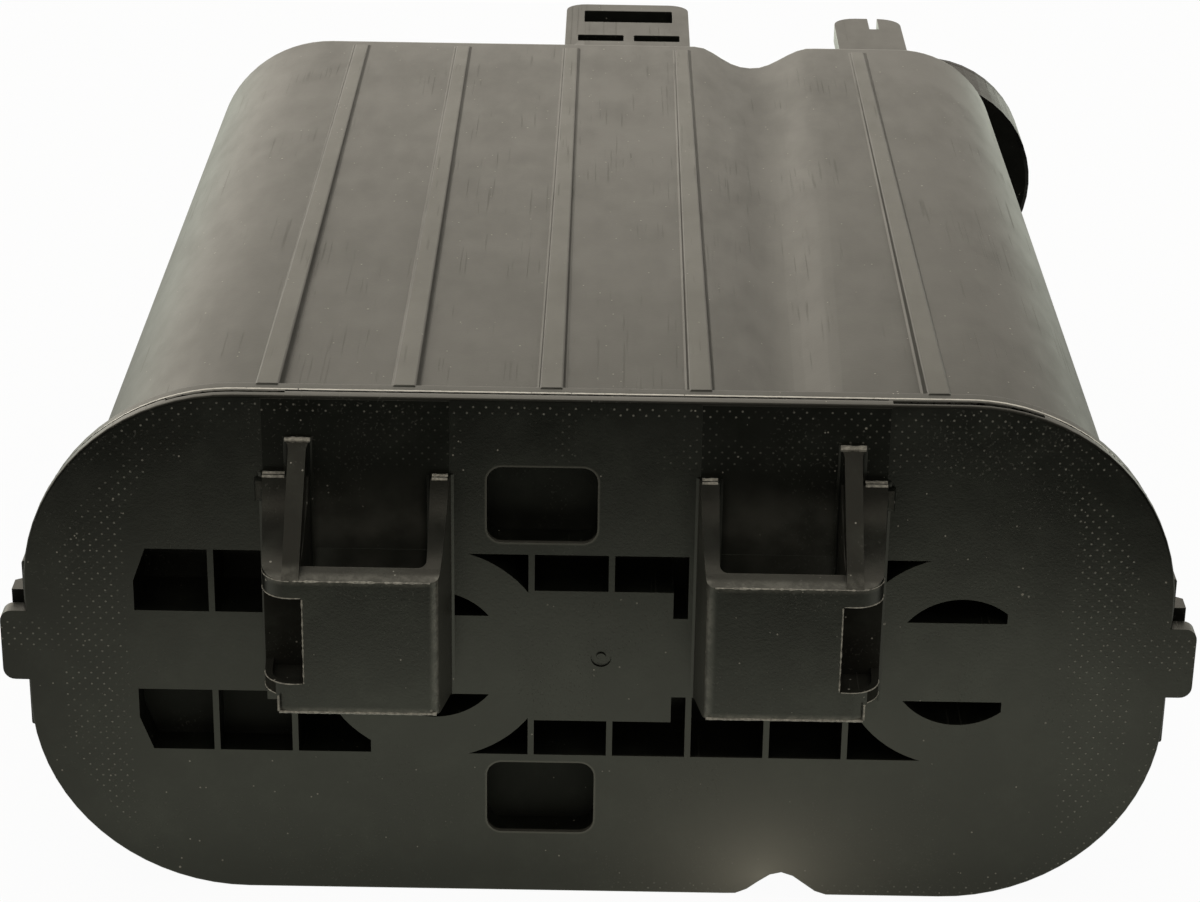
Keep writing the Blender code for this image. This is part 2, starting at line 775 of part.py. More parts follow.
def vent_filter_lid():
    front = vent_lid_front + joint_gap
    skirt = vent_radius - vent_wall - joint_gap
    profile = [(skirt, front - skirt_depth), (skirt, front), (vent_radius, front),
               (vent_radius, overall_rear - vent_edge), (vent_radius - vent_edge, overall_rear)]
    lid = turned("vent_filter_lid", profile, vent_axis, 48)
    core = [(skirt - skirt_wall, front - skirt_depth - overlap), (skirt - skirt_wall, front)]
    cut(lid, turned("lid_core", core, vent_axis, 48))
    slots = []
    for step in range(-3, 4):
        offset = lid_slot_pitch * step
        x = vent_axis[0] + offset
        half = math.sqrt(lid_slot_reach ** 2 - offset ** 2)
        slots.append(box("slot", (x - lid_slot_half, x + lid_slot_half), (front - 0.002, 0.3),
                         (vent_axis[1] - half, vent_axis[1] + half)))
    return cut(lid, gather("slots", slots))


def vent_filter_foam():
    radius = vent_radius - vent_wall - joint_gap
    front = vent_front + vent_wall + joint_gap
    profile = [(radius, front), (radius, vent_lid_front + joint_gap - skirt_depth - joint_gap)]
    return turned("vent_filter_foam", profile, vent_axis, 40)


def vent_seal():
    profile = []
    for step in range(8):
        angle = math.tau * step / 8
        profile.append((seal_middle[0] + seal_half[0] * math.cos(angle),
                        seal_middle[1] + seal_half[1] * math.sin(angle)))
    return turned("vent_seal", profile, (vent_ring_x, mid_height), 28, hollow=True)


def build():
    clear_scene()
    black_plastic = plastic("black moulded plastic", (0.032, 0.032, 0.029), 0.42)
    cover_plastic = plastic("black cover plastic", (0.026, 0.027, 0.024), 0.46)
    grey_plastic = plastic("natural grey plastic", (0.30, 0.30, 0.28), 0.5)
    charcoal = plastic("pelletised charcoal", (0.018, 0.018, 0.019), 0.95)
    foam = plastic("grey open foam", (0.16, 0.16, 0.15), 0.98)
    spring_steel = plastic("spring steel", (0.55, 0.55, 0.56), 0.3, 1.0)
    rubber = plastic("black rubber", (0.015, 0.015, 0.015), 0.7)
    pad_front = plate_front + plate_thickness + joint_gap
    bed_front = pad_front + pad_thickness + joint_gap
    pad_rear = bed_rear + joint_gap
    pieces = [
        (canister_body(), black_plastic),
        (end_cover(), cover_plastic),
        (pressure_plate("main_pressure_plate", True, 12, 8, main_ring_x), grey_plastic),
        (pressure_plate("vent_pressure_plate", False, 5, 8, vent_ring_x), grey_plastic),
        (coil_spring("main_spring", main_ring_x), spring_steel),
        (coil_spring("vent_spring", vent_ring_x), spring_steel),
        (pad("main_front_pad", pad_front, True), foam),
        (pad("vent_front_pad", pad_front, False), foam),
        (chamber_solid("main_charcoal_bed", bed_front, bed_rear, wall + bed_clearance, True), charcoal),
        (chamber_solid("vent_charcoal_bed", bed_front, bed_rear, wall + bed_clearance, False), charcoal),
        (pad("tank_port_pad", pad_rear, True, (-0.2, port_divider_x - 0.0011)), foam),
        (pad("purge_port_pad", pad_rear, True, (port_divider_x + 0.0011, 0.2)), foam),
        (pad("vent_rear_pad", pad_rear, False), foam),
        (vent_filter_housing(), black_plastic),
        (vent_filter_lid(), black_plastic),
        (vent_filter_foam(), foam),
        (vent_seal(), rubber),
    ]
    frame = bpy.data.objects.new("canister_frame", None)
    bpy.context.scene.collection.objects.link(frame)
    frame.location = (0.0, -(overall_front + overall_rear) / 2, 0.0)
    for piece, finish in pieces:
        piece.data.materials.clear()
        piece.data.materials.append(finish)
        piece.parent = frame


build()
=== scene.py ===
# Charcoal canister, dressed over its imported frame
import math
import random
import bmesh
import bpy
from mathutils import Matrix, Vector


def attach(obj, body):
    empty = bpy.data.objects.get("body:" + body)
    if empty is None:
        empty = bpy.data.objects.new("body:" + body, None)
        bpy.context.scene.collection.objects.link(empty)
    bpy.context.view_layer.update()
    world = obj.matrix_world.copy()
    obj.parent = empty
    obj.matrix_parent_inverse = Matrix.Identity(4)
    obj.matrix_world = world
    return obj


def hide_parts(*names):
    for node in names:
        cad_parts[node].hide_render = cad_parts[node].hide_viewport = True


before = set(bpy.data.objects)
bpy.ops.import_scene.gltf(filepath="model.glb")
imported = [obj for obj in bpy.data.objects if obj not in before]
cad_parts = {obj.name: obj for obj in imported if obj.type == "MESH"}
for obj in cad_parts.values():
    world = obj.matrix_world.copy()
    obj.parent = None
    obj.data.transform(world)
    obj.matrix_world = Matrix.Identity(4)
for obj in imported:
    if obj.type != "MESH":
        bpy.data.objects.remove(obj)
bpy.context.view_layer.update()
print("frame loaded with", len(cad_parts), "nodes")

faceY = -0.134          # outer face of the end cover; pieces are drawn from it, Y running back
midHeight = 0.05055
partitionX = 0.0353
bracketCentre = -0.00455  # the plane midway between the two brackets
scatter = random.Random(11)


# Shader helpers
class Link:
    # an output socket that takes part in sums like a number
    def __init__(self, network, socket):
        self.network = network
        self.socket = socket

    def maths(self, operation, *values):
        return self.network.node("ShaderNodeMath", {"operation": operation}, dict(enumerate(values)))

    def __add__(self, other):
        return self.maths("ADD", self, other)

    def __sub__(self, other):
        return self.maths("SUBTRACT", self, other)

    def __rsub__(self, other):
        return self.maths("SUBTRACT", other, self)

    def __mul__(self, other):
        return self.maths("MULTIPLY", self, other)

    def __truediv__(self, other):
        return self.maths("DIVIDE", self, other)

    def __pow__(self, other):
        return self.maths("POWER", self, other)

    def __abs__(self):
        return self.maths("ABSOLUTE", self)

    __radd__ = __add__
    __rmul__ = __mul__

    def between(self, low, high, first=0, last=1):
        # soft step from one value to another over a band
        values = {"Value": self, "From Min": low, "From Max": high, "To Min": first, "To Max": last}
        return self.network.node("ShaderNodeMapRange", {"interpolation_type": "SMOOTHSTEP"}, values)


class Network:
    # a node tree with short ways to add to it
    def __init__(self, tree, coordinates):
        self.tree = tree
        self.place = self.node("ShaderNodeTexCoord", out=coordinates)

    def node(self, kind, settings=None, values=None, out=0):
        made = self.tree.nodes.new(kind)
        for key, value in (settings or {}).items():
            setattr(made, key, value)
        for key, value in (values or {}).items():
            if isinstance(value, Link):
                self.tree.links.new(value.socket, made.inputs[key])
            else:
                made.inputs[key].default_value = value
        return Link(self, made.outputs[out])

    def axes(self):
        return [self.node("ShaderNodeSeparateXYZ", values={0: self.place}, out=k) for k in range(3)]

    def turned(self, angle, scale):
        return self.node("ShaderNodeMapping", values={"Vector": self.place, "Rotation": angle, "Scale": scale})

    def noise(self, size, detail=2.0, rough=0.5, vector=None):
        values = {"Vector": vector or self.place, "Scale": 1 / size, "Detail": detail, "Roughness": rough}
        return self.node("ShaderNodeTexNoise", values=values)

    def blend(self, mask, *tones):
        first, second = (tone if isinstance(tone, Link) else (*tone, 1) for tone in tones)
        return self.node("ShaderNodeMix", {"data_type": "RGBA"}, {0: mask, 6: first, 7: second}, 2)

    def bump(self, height, distance):
        return self.node("ShaderNodeBump", values={"Height": height, "Distance": distance, "Strength": 1})

    def ray(self, kind):
        return self.node("ShaderNodeLightPath", out="Is %s Ray" % kind)

    def glow(self, kind, colour, strength):
        return self.node("ShaderNode" + kind, values={"Color": (*colour, 1), "Strength": strength})

    def mixed(self, share, first, second):
        return self.node("ShaderNodeMixShader", values={0: share, 1: first, 2: second})

    def show(self, shader, output):
        self.tree.links.new(shader.socket, self.tree.nodes[output].inputs["Surface"])


class Finish(Network):
    # one procedural material, built from a Principled shader
    def __init__(self, name, colour, roughness, **settings):
        self.material = bpy.data.materials.new(name)
        self.material.use_nodes = True
        super().__init__(self.material.node_tree, "Object")
        self.shader = self.tree.nodes["Principled BSDF"]
        self.shader.inputs["Base Color"].default_value = (*colour, 1)
        self.shader.inputs["Roughness"].default_value = roughness
        for socketName, value in settings.items():
            self.shader.inputs[socketName.replace("_", " ")].default_value = value

    def feed(self, **links):
        for socketName, link in links.items():
            self.tree.links.new(link.socket, self.shader.inputs[socketName.replace("_", " ")])
        return self.material


# Sizes of the cover, which its finishes read too
coverOutline = {
    "left": -0.105, "right": 0.105, "bottom": 0, "top": 0.1019, "cornerLeft": 0.0394, "cornerRight": 0.0394,
    "valleyTop": 0, "valleyBottom": 0.0048, "valleyHalf": 0.009, "valleyShoulder": 1,
}
coverLook = {
    "skin": 0.0026, "pocketDepth": 0.014, "shallowDepth": 0.0064, "shallowTo": -0.0571, "waffleBack": 0.016,
    "pocketRows": (0.0587, 0.0713), "ribPitch": 0.0146, "ribStart": -0.01225, "ribWidth": 0.00113,
    "through": (-0.002, 0.02), "pocketLeft": -0.0849, "leftBevel": (0.0024, 0.006), "ribs": range(-4, 5),
    "solid": [((-0.0128, 0.0137), (0.05, 0.064)), ((-0.042, -0.0302), (0.05, 0.08))],
    "rings": (-0.0302, 0.06666), "ringInner": 0.01304, "ringOuter": 0.02172, "ringEnds": (0, 0.0748),
    "springSeat": (0.0146, 0.0204), "waffle": ((-0.0866, 0.0766), (0.0281, 0.073)),
    "recess": {"x": -0.0104, "half": 0.01, "middle": 0.0509, "rise": 0.0303, "tall": 0.0075, "depth": 0.0058,
               "corner": 0.0028, "wall": 0.0015, "back": 0.0076, "backTall": 0.0089, "backCorner": 0.0042},
    "tab": ((0.101, 0.1097), (0.044, 0.0582)), "gate": ((0.0006, 0.0504), (0.0009, 0.0019), 0.0004),
    "edge": 0.0003,
}

# Finishes
plasticLook = {
    "dark": (0.0053, 0.0064, 0.0049), "film": (0.03, 0.034, 0.028), "tint": (1, 0.98, 0.89),
    # the dot tone is a painted highlight on each raised dot
    "dustTone": (0.36, 0.35, 0.31), "dotTone": (0.22, 0.22, 0.195), "scuffTone": (0.36, 0.35, 0.305),
    # the edge tone is a painted highlight on rims and borders, partly wear on the bracket borders
    # the slot tone is painted light between the bracket arms
    "rubbedTone": (0.16, 0.158, 0.138), "hazeTone": (0.07, 0.071, 0.062), "grain": 0.00055,
}


def scratches(finish, angle, spacing, keep):
    # thin broken lines running one way
    lines = finish.noise(1, 0, 0.5, finish.turned(angle, (1 / spacing, 14, 1 / spacing)))
    patches = finish.noise(0.021, 1, 0.5, finish.turned(angle, (1, 1, 1)))
    return lines.between(0.725, 0.735) * patches.between(keep, keep + 0.08)


def dust(finish, size, keep):
    specks = finish.node("ShaderNodeTexVoronoi", values={"Vector": finish.place, "Scale": 1 / size}, out="Distance")
    return specks.between(0.1, 0.05) * finish.noise(size * 2.3, 1).between(keep, keep + 0.03)


def plasticFinish(name, streaks, rough=0.38, colour=None, dusty=0.56, gloss=0.5, grainy=0.000018, haze=0.3,
                  places=None):
    look = plasticLook
    base = colour or look["dark"]
    finish = Finish(name, base, rough, IOR=1.5, Specular_Tint=(*look["tint"], 1), Specular_IOR_Level=gloss)
    flow = finish.noise(0.011, 3, 0.6, finish.turned((0, 0, 0), streaks))
    cloud = finish.noise(0.055, 2)
    marks = scratches(finish, (0.3, 0.9, 0.4), 0.00045, 0.55) + scratches(finish, (1.2, 0.2, 1.9), 0.0005, 0.58)
    specks = dust(finish, 0.0021, dusty) + dust(finish, 0.0031, dusty + 0.08)
    worn = (flow * 0.5 + cloud * 0.5).between(0.35, 0.7)
    grain = finish.noise(look["grain"], 2, 0.7)
    shade = finish.blend(worn * 0.7, base, tuple(channel + 0.007 for channel in base))
    film = finish.noise(0.01, 4, 0.65).between(0.42, 0.78) * (0.55 + grain * 0.9)
    shade = finish.blend(film * haze, shade, tuple(map(sum, zip(base, look["film"]))))
    shade = finish.blend(marks * 0.35, shade, (0.09, 0.09, 0.08))
    shade = finish.blend(specks, shade, look["dustTone"])
    roughness = rough - 0.05 + worn * 0.07 + marks * 0.1 + specks * 0.3
    height = grain * grainy + cloud * 0.0004 + flow * 0.00002 - marks * 0.000015
    for mask, tone, rise in (places(finish) if places else ()):
        shade = finish.blend(mask, shade, look[tone])
        height = height + mask * rise
    return finish.feed(Base_Color=shade, Roughness=roughness, Normal=finish.bump(height, 1))


def larger(first, second):
    return first.maths("MAXIMUM", first, second)


def nearFace(y, depth=(0.0008, 0.0003)):
    # keeps a mark on the cover's outer face
    return abs(y - faceY).between(*depth)


def edgeDistance(finish):
    # how far a place on the cover's face lies inside its outline
    x, y, z = finish.axes()
    look = coverOutline
    corner = look["cornerLeft"]
    middle = (look["bottom"] + look["top"]) / 2
    aside = larger(abs(x) - (look["right"] - corner), 0)
    aloft = larger(abs(z - middle) - (look["top"] - middle - corner), 0)
    return corner - (aside ** 2 + aloft ** 2) ** 0.5


dotLook = {
    # bands as a start and an end along X or Z, or as a distance from the outline
    "pitch": 0.00228, "spot": 0.00025, "depth": (0.0005, 0.0002),
    "side": (0.0863, 0.087), "sideInset": (0.006, 0.0064), "sideTop": (0.078, 0.087, 0, 0.005),
    "beltMiddle": 0.0535, "belt": (0.0035, 0.0031), "rim": (0.0026, 0.0021), "rimTop": (0.044, 0.04),
    "rimFrom": (0, 0.01), "topFrom": (0.088, 0.09), "topInset": (0.0006, 0.001), "firstRow": (0.0034, 0.0028),
    "patch": 0.018, "patchFull": (0.03, 0.06), "patchFade": (-0.03, 0.06, 0.45, 0.9), "wear": 0.003,
}


def dots(finish):
    # small raised dots in offset rows, only where the cover's mould has them, painted pale as a painted highlight on
    # each dot, some of them worn and fainter
    look = dotLook
    x, y, z = finish.axes()
    pitch, spot = look["pitch"], look["spot"]
    raised = 0
    for shift in (0, 0.5):
        across = (x / pitch + 100).maths("FRACT", x / pitch + 100 + shift) - 0.5
        up = (z / pitch + 100).maths("FRACT", z / pitch + 100 + shift) - 0.5
        far = ((across * pitch) ** 2 + (up * pitch) ** 2) ** 0.5
        raised = far.between(spot, spot * 0.45) + raised
    inside = edgeDistance(finish)
    aside = abs(x) + z.between(*look["sideTop"])
    side = aside.between(*look["side"]) * inside.between(*look["sideInset"])
    belt = abs(z - look["beltMiddle"]).between(*look["belt"]) * abs(x).between(*look["side"])
    rim = inside.between(*look["rim"]) * z.between(*look["rimTop"]) * x.between(*look["rimFrom"])
    top = z.between(*look["topFrom"]) * inside.between(*look["topInset"])
    firstRow = top * inside.between(*look["firstRow"])
    patchy = finish.noise(look["patch"], 1).between(0.36, 0.46)
    patchy = larger(patchy, x.between(*look["patchFull"])) * x.between(*look["patchFade"])
    strong = larger(larger(side, belt), larger(firstRow, rim))
    strong = larger(strong, top * patchy * 0.6)
    uneven = finish.noise(look["wear"], 1).between(0.34, 0.62, 0.15, 1)
    return raised * strong * uneven * nearFace(y, look["depth"])


scuffLook = {"x": 0.032, "z": 0.0045, "squash": 1.15, "reach": 0.0115}


def scuff(finish):
    # pale rubbed patch round the notch of the cover, fading with distance
    look = scuffLook
    x, y, z = finish.axes()
    far = ((x - look["x"]) ** 2 + (z * look["squash"] - look["z"]) ** 2) ** 0.5 / -look["reach"]
    return far.maths("EXPONENT", far) * nearFace(y)


slotLightLook = {"slotMiddle": 0.037, "slotEdge": (0.0112, 0.0088), "low": (0.06, 0.065), "high": (0.09, 0.077)}


def slotPaintedLight(finish):
    # painted light on the cover between the arms of each bracket, a pale tone that fades towards the top
    look = slotLightLook
    x, y, z = finish.axes()
    within = abs(abs(x - bracketCentre) - look["slotMiddle"]).between(*look["slotEdge"])
    uneven = finish.noise(0.007, 3).between(0.3, 0.7, 0.45, 1)
    return within * z.between(*look["low"]) * z.between(*look["high"]) * uneven * nearFace(y)


def recessRimHighlights(finish):
    # painted highlights on the lips of the two recesses
    x, y, z = finish.axes()
    recess = coverLook["recess"]
    across = larger(abs(x - recess["x"]) - (recess["half"] - recess["corner"]), 0)
    up = abs(abs(z - recess["middle"]) - recess["rise"]) - (recess["tall"] - recess["corner"])
    away = (across ** 2 + larger(up, 0) ** 2) ** 0.5 - recess["corner"]
    return abs(away).between(0.0005, 0.00015) * nearFace(y, (0.0011, 0.0007)) * 0.55


def coverPlaces(finish):
    # each mark on the cover's face, with its tone and how far it stands up; the scuff is the cover's own, the slot
    # tone, rim lines and dot tones are painted light
    return ((scuff(finish), "scuffTone", 0), (slotPaintedLight(finish), "hazeTone", 0),
            (recessRimHighlights(finish), "rubbedTone", 0), (dots(finish), "dotTone", 0.00005))


borderLook = {
    "foot": (0.0503, 0.0492), "side": (0.0254, 0.0238), "shelf": (0.074, 0.0749), "front": (-0.017, -0.0185),
}


def bracketPlaces(finish):
    # pale borders of the bracket plates, partly edge wear and partly painted highlight
    look = borderLook
    x, y, z = finish.axes()
    side = abs(x - bracketCentre).between(*look["side"])
    border = larger(z.between(*look["foot"]), side)
    border = larger(border, z.between(*look["shelf"]) * 0.6)
    uneven = finish.noise(0.0022, 3, 0.7).between(0.35, 0.65, 0.35, 1)
    return ((border * uneven * (y - faceY).between(*look["front"]), "rubbedTone", 0),)


def plainFinish(name, colour, roughness, grain, depth, contrast=0.35, **settings):
    finish = Finish(name, colour, roughness, **settings)
    mottle = finish.noise(grain, 3, 0.6)
    light = tuple(min(1, channel * (1 + contrast)) for channel in colour)
    dark = tuple(channel * (1 - contrast) for channel in colour)
    shade = finish.blend(mottle.between(0.3, 0.7), dark, light)
    return finish.feed(Base_Color=shade, Roughness=roughness - 0.06 + mottle * 0.12,
                       Normal=finish.bump(mottle, depth))


bodyPlastic = plasticFinish("mouldedBlack", (2.2, 0.9, 2.2), grainy=0.000012)
crestPlastic = plasticFinish("rubbedRib", (2.2, 0.9, 2.2), colour=(0.034, 0.035, 0.028), grainy=0.000012)
coverPlastic = plasticFinish("mouldedCover", (1.2, 5, 1.2), rough=0.33, haze=0.4, places=coverPlaces)
panelPlastic = plasticFinish("slidePanel", (1.2, 5, 1.2), rough=0.33, gloss=0.25, haze=0.25, places=coverPlaces)
bracketPlastic = plasticFinish("mouldedBracket", (2, 2, 1), rough=0.34, dusty=0.52, grainy=0.000022, haze=0.6,
                               places=bracketPlaces)
flankPlastic = plasticFinish("dustyFlank", (2, 2, 1), rough=0.5, colour=(0.045, 0.045, 0.038), dusty=0.46)
hollowPlastic = plasticFinish("hollowFloor", (2, 2, 1), rough=0.7, gloss=0.25)
windowPlastic = plasticFinish("windowFloor", (2, 2, 1), rough=0.9, colour=(0.017, 0.017, 0.014), dusty=0.52,
                              gloss=0.15, haze=0.5)
# pale finish on the lips of the openings, a painted highlight
lipHighlightPlastic = plasticFinish("lipPaintedHighlight", (2, 2, 1), rough=0.45, colour=(0.062, 0.062, 0.053))
# black and without gloss, painted shade in the joint of cover and flange
seamShadePlastic = Finish("weldSeamShade", (0.003, 0.003, 0.0026), 1, Specular_IOR_Level=0).material
# near-white, a painted highlight on the flange's front rim
rimHighlightPlastic = plainFinish("rimPaintedHighlight", (0.66, 0.64, 0.57), 0.25, 0.0015, 0.00001, 0.15)
# pale beads: partly mould flash and worn edges, partly painted highlight
flashHighlightPlastic = plainFinish("flashAndEdgeHighlight", (0.4, 0.388, 0.34), 0.38, 0.0007, 0.00002, 0.4)
canPlastic = plasticFinish("glossyBlack", (3, 3, 3), rough=0.3, colour=(0.004, 0.004, 0.0035), gloss=0.05, haze=0)
plateGrey = plainFinish("naturalGrey", (0.3, 0.3, 0.28), 0.5, 0.004, 0.00002, 0.1)
charcoalBlack = plainFinish("pelletCharcoal", (0.02, 0.02, 0.021), 0.9, 0.0026, 0.0008, 0.6)
foamGrey = plainFinish("openFoam", (0.16, 0.16, 0.15), 0.95, 0.0009, 0.0004, 0.5)
springSteel = plainFinish("springSteel", (0.55, 0.55, 0.56), 0.3, 0.002, 0.00001, 0.08, Metallic=1)
sealRubber = plainFinish("sealRubber", (0.015, 0.015, 0.015), 0.7, 0.001, 0.00002, 0.2)
print("finishes made")


# Modelling helpers
def outward(bm):
    # turns every face outward
    bmesh.ops.recalc_face_normals(bm, faces=bm.faces)
    return bm


def easeOff(bm, geom, offset, segments, affect="EDGES"):
    # rounds edges or corners of a mesh
    bmesh.ops.bevel(bm, geom=geom, offset=offset, offset_type="OFFSET", segments=segments, profile=0.5,
                    affect=affect, material=-1)


def onPlane(item, y):
    verts = item.verts if hasattr(item, "verts") else [item]
    return all(abs(v.co.y - y) < 1e-7 for v in verts)


def outlineFace(bm, spec, y):
    # rectangle with round corners and a soft valley over the partition, as one face
    corners = [bm.verts.new((spec[side], y, spec[level]))
               for side, level in (("left", "bottom"), ("right", "bottom"), ("right", "top"), ("left", "top"))]
    bm.faces.new(corners)
    for first, second, side in ((0, 3, "cornerLeft"), (1, 2, "cornerRight")):
        easeOff(bm, [corners[first], corners[second]], spec[side], 18, "VERTICES")
    long = [e for e in bm.edges if e.calc_length() > 0.05 and abs(e.verts[0].co.z - e.verts[1].co.z) < 1e-6
            and onPlane(e, y)]
    bmesh.ops.subdivide_edges(bm, edges=long, cuts=60)
    bmesh.ops.dissolve_faces(bm, faces=[f for f in bm.faces if onPlane(f, y)])
    middle = (spec["bottom"] + spec["top"]) / 2
    for v in bm.verts:
        away = abs(v.co.x - partitionX)
        if not onPlane(v, y) or away >= spec["valleyHalf"]:
            continue
        share = (away / spec["valleyHalf"]) ** (spec["valleyShoulder"] if v.co.x < partitionX else 1)
        dip = math.cos(0.5 * math.pi * share) ** 2
        if v.co.z < middle:
            v.co.z += spec["valleyBottom"] * dip
        else:
            v.co.z -= spec["valleyTop"] * dip
    return [f for f in bm.faces if onPlane(f, y)][0]


def pull(bm, face, by):
    # extrudes a face into a solid and gives the far face
    made = bmesh.ops.extrude_face_region(bm, geom=[face])
    moved = [item for item in made["geom"] if isinstance(item, bmesh.types.BMVert)]
    bmesh.ops.translate(bm, verts=moved, vec=by)
    return [item for item in made["geom"] if isinstance(item, bmesh.types.BMFace)][0]


def slab(points, by):
    bm = bmesh.new()
    pull(bm, bm.faces.new([bm.verts.new(p) for p in points]), by)
    return outward(bm)


def upright(points, low, high):
    return slab([(x, y, low) for x, y in points], (0, 0, high - low))


def block(xRange, yRange, zRange, radius=0, steps=6, standing=False):
    # its corners may be round, as seen along Y, or from above where it stands
    bm = bmesh.new()
    (x0, x1), (y0, y1), (z0, z1) = sorted(xRange), yRange, zRange
    far = (y1, z0) if standing else (y0, z1)
    bm.faces.new([bm.verts.new(p) for p in ((x0, y0, z0), (x1, y0, z0), (x1, *far), (x0, *far))])
    if radius:
        easeOff(bm, bm.verts[:], radius, steps, "VERTICES")
    pull(bm, bm.faces[:][0], (0, 0, z1 - z0) if standing else (0, y1 - y0, 0))
    return outward(bm)


def spun(profile, centre, steps, closed=False):
    # a (radius, y) profile turned about a line along Y
    bm = bmesh.new()
    row = [bm.verts.new((centre[0] + r, y, centre[1])) for r, y in profile]
    edges = [bm.edges.new(pair) for pair in zip(row, row[1:])]
    if closed:
        edges.append(bm.edges.new((row[-1], row[0])))
    bmesh.ops.spin(bm, geom=row + edges, cent=(centre[0], 0, centre[1]), axis=(0, 1, 0), angle=math.tau,
                   steps=steps, use_merge=True)
    if not closed:
        bmesh.ops.holes_fill(bm, edges=[e for e in bm.edges if e.is_boundary])
    return outward(bm)


def pipe(inner, outer, low, high, centre, steps):
    # ring between two radii and two places along Y
    return spun([(inner, low), (outer, low), (outer, high), (inner, high)], centre, steps, closed=True)


def disc(radius, low, high, centre, steps):
    return spun([(radius, low), (radius, high)], centre, steps)


def toHolder(data):
    holder = bpy.data.objects.new(data.name, data)
    bpy.context.scene.collection.objects.link(holder)
    return holder


def toObject(bm):
    mesh = bpy.data.meshes.new("solid")
    bm.to_mesh(mesh)
    bm.free()
    return toHolder(mesh)


def discard(item):
    bpy.data.objects.remove(item, do_unlink=True)


def evaluated(item):
    return bpy.data.meshes.new_from_object(item.evaluated_get(bpy.context.evaluated_depsgraph_get()))


def applied(target):
    mesh = evaluated(target)
    target.modifiers.clear()
    target.data = mesh
    return target


def shape(target, tool, operation):
    # joins, cuts or keeps a solid; the tool is used up
    helper = toObject(tool) if isinstance(tool, bmesh.types.BMesh) else tool
    modifier = target.modifiers.new("shape", "BOOLEAN")
    modifier.operation = operation
    modifier.object = helper
    modifier.solver = "EXACT"
    applied(target)
    discard(helper)
    return target


def join(target, *tools):
    for tool in tools:
        shape(target, tool, "UNION")
    return target


def cut(target, *tools):
    for tool in tools:
        shape(target, tool, "DIFFERENCE")
    return target


def eased(target, width, segments, angle):
    # rounds the edges that turn by more than an angle
    modifier = target.modifiers.new("eased edges", "BEVEL")
    modifier.width = width
    modifier.segments = segments
    modifier.angle_limit = math.radians(angle)
    return applied(target)


def finishPiece(piece, name, material, replaced=(), smooth=38):
    # moves a piece to its place, smooths it and hangs it on the canister
    piece.name = name
    piece.data.name = name
    piece.data.transform(Matrix.Translation((0, faceY, 0)))
    piece.data.materials.clear()
    piece.data.materials.append(material)
    piece.data.shade_smooth()
    piece.data.set_sharp_from_angle(angle=math.radians(smooth))
    even = piece.modifiers.new("even shading", "WEIGHTED_NORMAL")
    even.keep_sharp = True
    even.weight = 60
    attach(piece, "root")
    if replaced:
        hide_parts(*replaced)


def otherFinish(piece, material, wanted):
    # gives the faces that answer a description a finish of their own
    piece.data.materials.append(material)
    for face in piece.data.polygons:
        if wanted(face.center, face.normal):
            face.material_index = len(piece.data.materials) - 1


# The housing
housingLook = {
    "front": {"left": -0.0982, "right": 0.0983, "bottom": 0.0029, "top": 0.0992, "cornerLeft": 0.0357,
              "cornerRight": 0.034, "valleyTop": 0.0042, "valleyBottom": 0.0042, "valleyHalf": 0.01,
              "valleyShoulder": 1.25},
    "back": {"left": -0.096, "right": 0.095, "bottom": 0.0059, "top": 0.096, "cornerLeft": 0.0284,
             "cornerRight": 0.024, "valleyTop": 0.0053, "valleyBottom": 0.0053, "valleyHalf": 0.014,
             "valleyShoulder": 1.25},
    "start": 0.0046, "length": 0.235, "wall": 0.0025, "rearEdge": 0.003, "rearInside": 0.2325,
    "divider": {"half": 0.0012, "y": (0.016, 0.2335), "z": (0.004, 0.0955), "bite": 0.001},
    "flangeFront": 0.0029, "flangeRear": 0.007, "flangeInset": 0.0004,
    "ribs": (-0.06, -0.0354, -0.009, 0.0178, 0.0605), "ribEnd": 0.229,
    "ribWidth": (0.0048, 0.0036), "ribHeight": (0.0025, 0.0003), "ribFoot": 0.0004, "ribCrest": 0.84,
    # hose stems: place, radius, radius of the bead, bore and length
    "stems": [((-0.052, 0.05), 0.0079, 0.009, 0.006, 0.036), ((0.013, 0.05), 0.0048, 0.0059, 0.0028, 0.032)],
    "socket": {"place": (0.06666, midHeight), "bore": 0.0092, "depth": 0.251,
               "outside": [(0.013, 0.234), (0.0122, 0.2365), (0.0118, 0.2492), (0.0112, 0.25)]},
}
tongueLook = {
    # plates behind the housing and their slots, as spans along X, Y and Z
    "rear": ((-0.0108, 0.0199), (0.227, 0.269), (0.0861, 0.0956)), "rearCorner": 0.005, "slotZ": (0.0878, 0.1),
    "slots": [((-0.0062, 0.0158), (0.2536, 0.2632)), ((-0.0076, 0.0036), (0.2376, 0.2424)),
              ((0.0062, 0.0174), (0.2376, 0.2424))],
    "locator": ((0.0566, 0.0732), (0.227, 0.262), (0.0905, 0.095)), "locatorCorner": 0.0055,
    "slit": ((0.0652, 0.0676), (0.253, 0.27), (0.08, 0.1)),
}
lugLook = {
    # plate against the rim, and fin with its front, its outer rear corner and its foot
    "plate": (0.099, 0.1056), "plateY": (0.0029, 0.007), "plateZ": (0.033, 0.067),
    "fin": (0.097, 0.1082), "finY": (0.0052, 0.009, 0.016), "finZ": (0.046, 0.06),
}


def grownSpec(spec, amount):
    changed = dict(spec)
    for key in ("left", "bottom"):
        changed[key] -= amount
    for key in ("right", "top", "cornerLeft", "cornerRight"):
        changed[key] += amount
    return changed


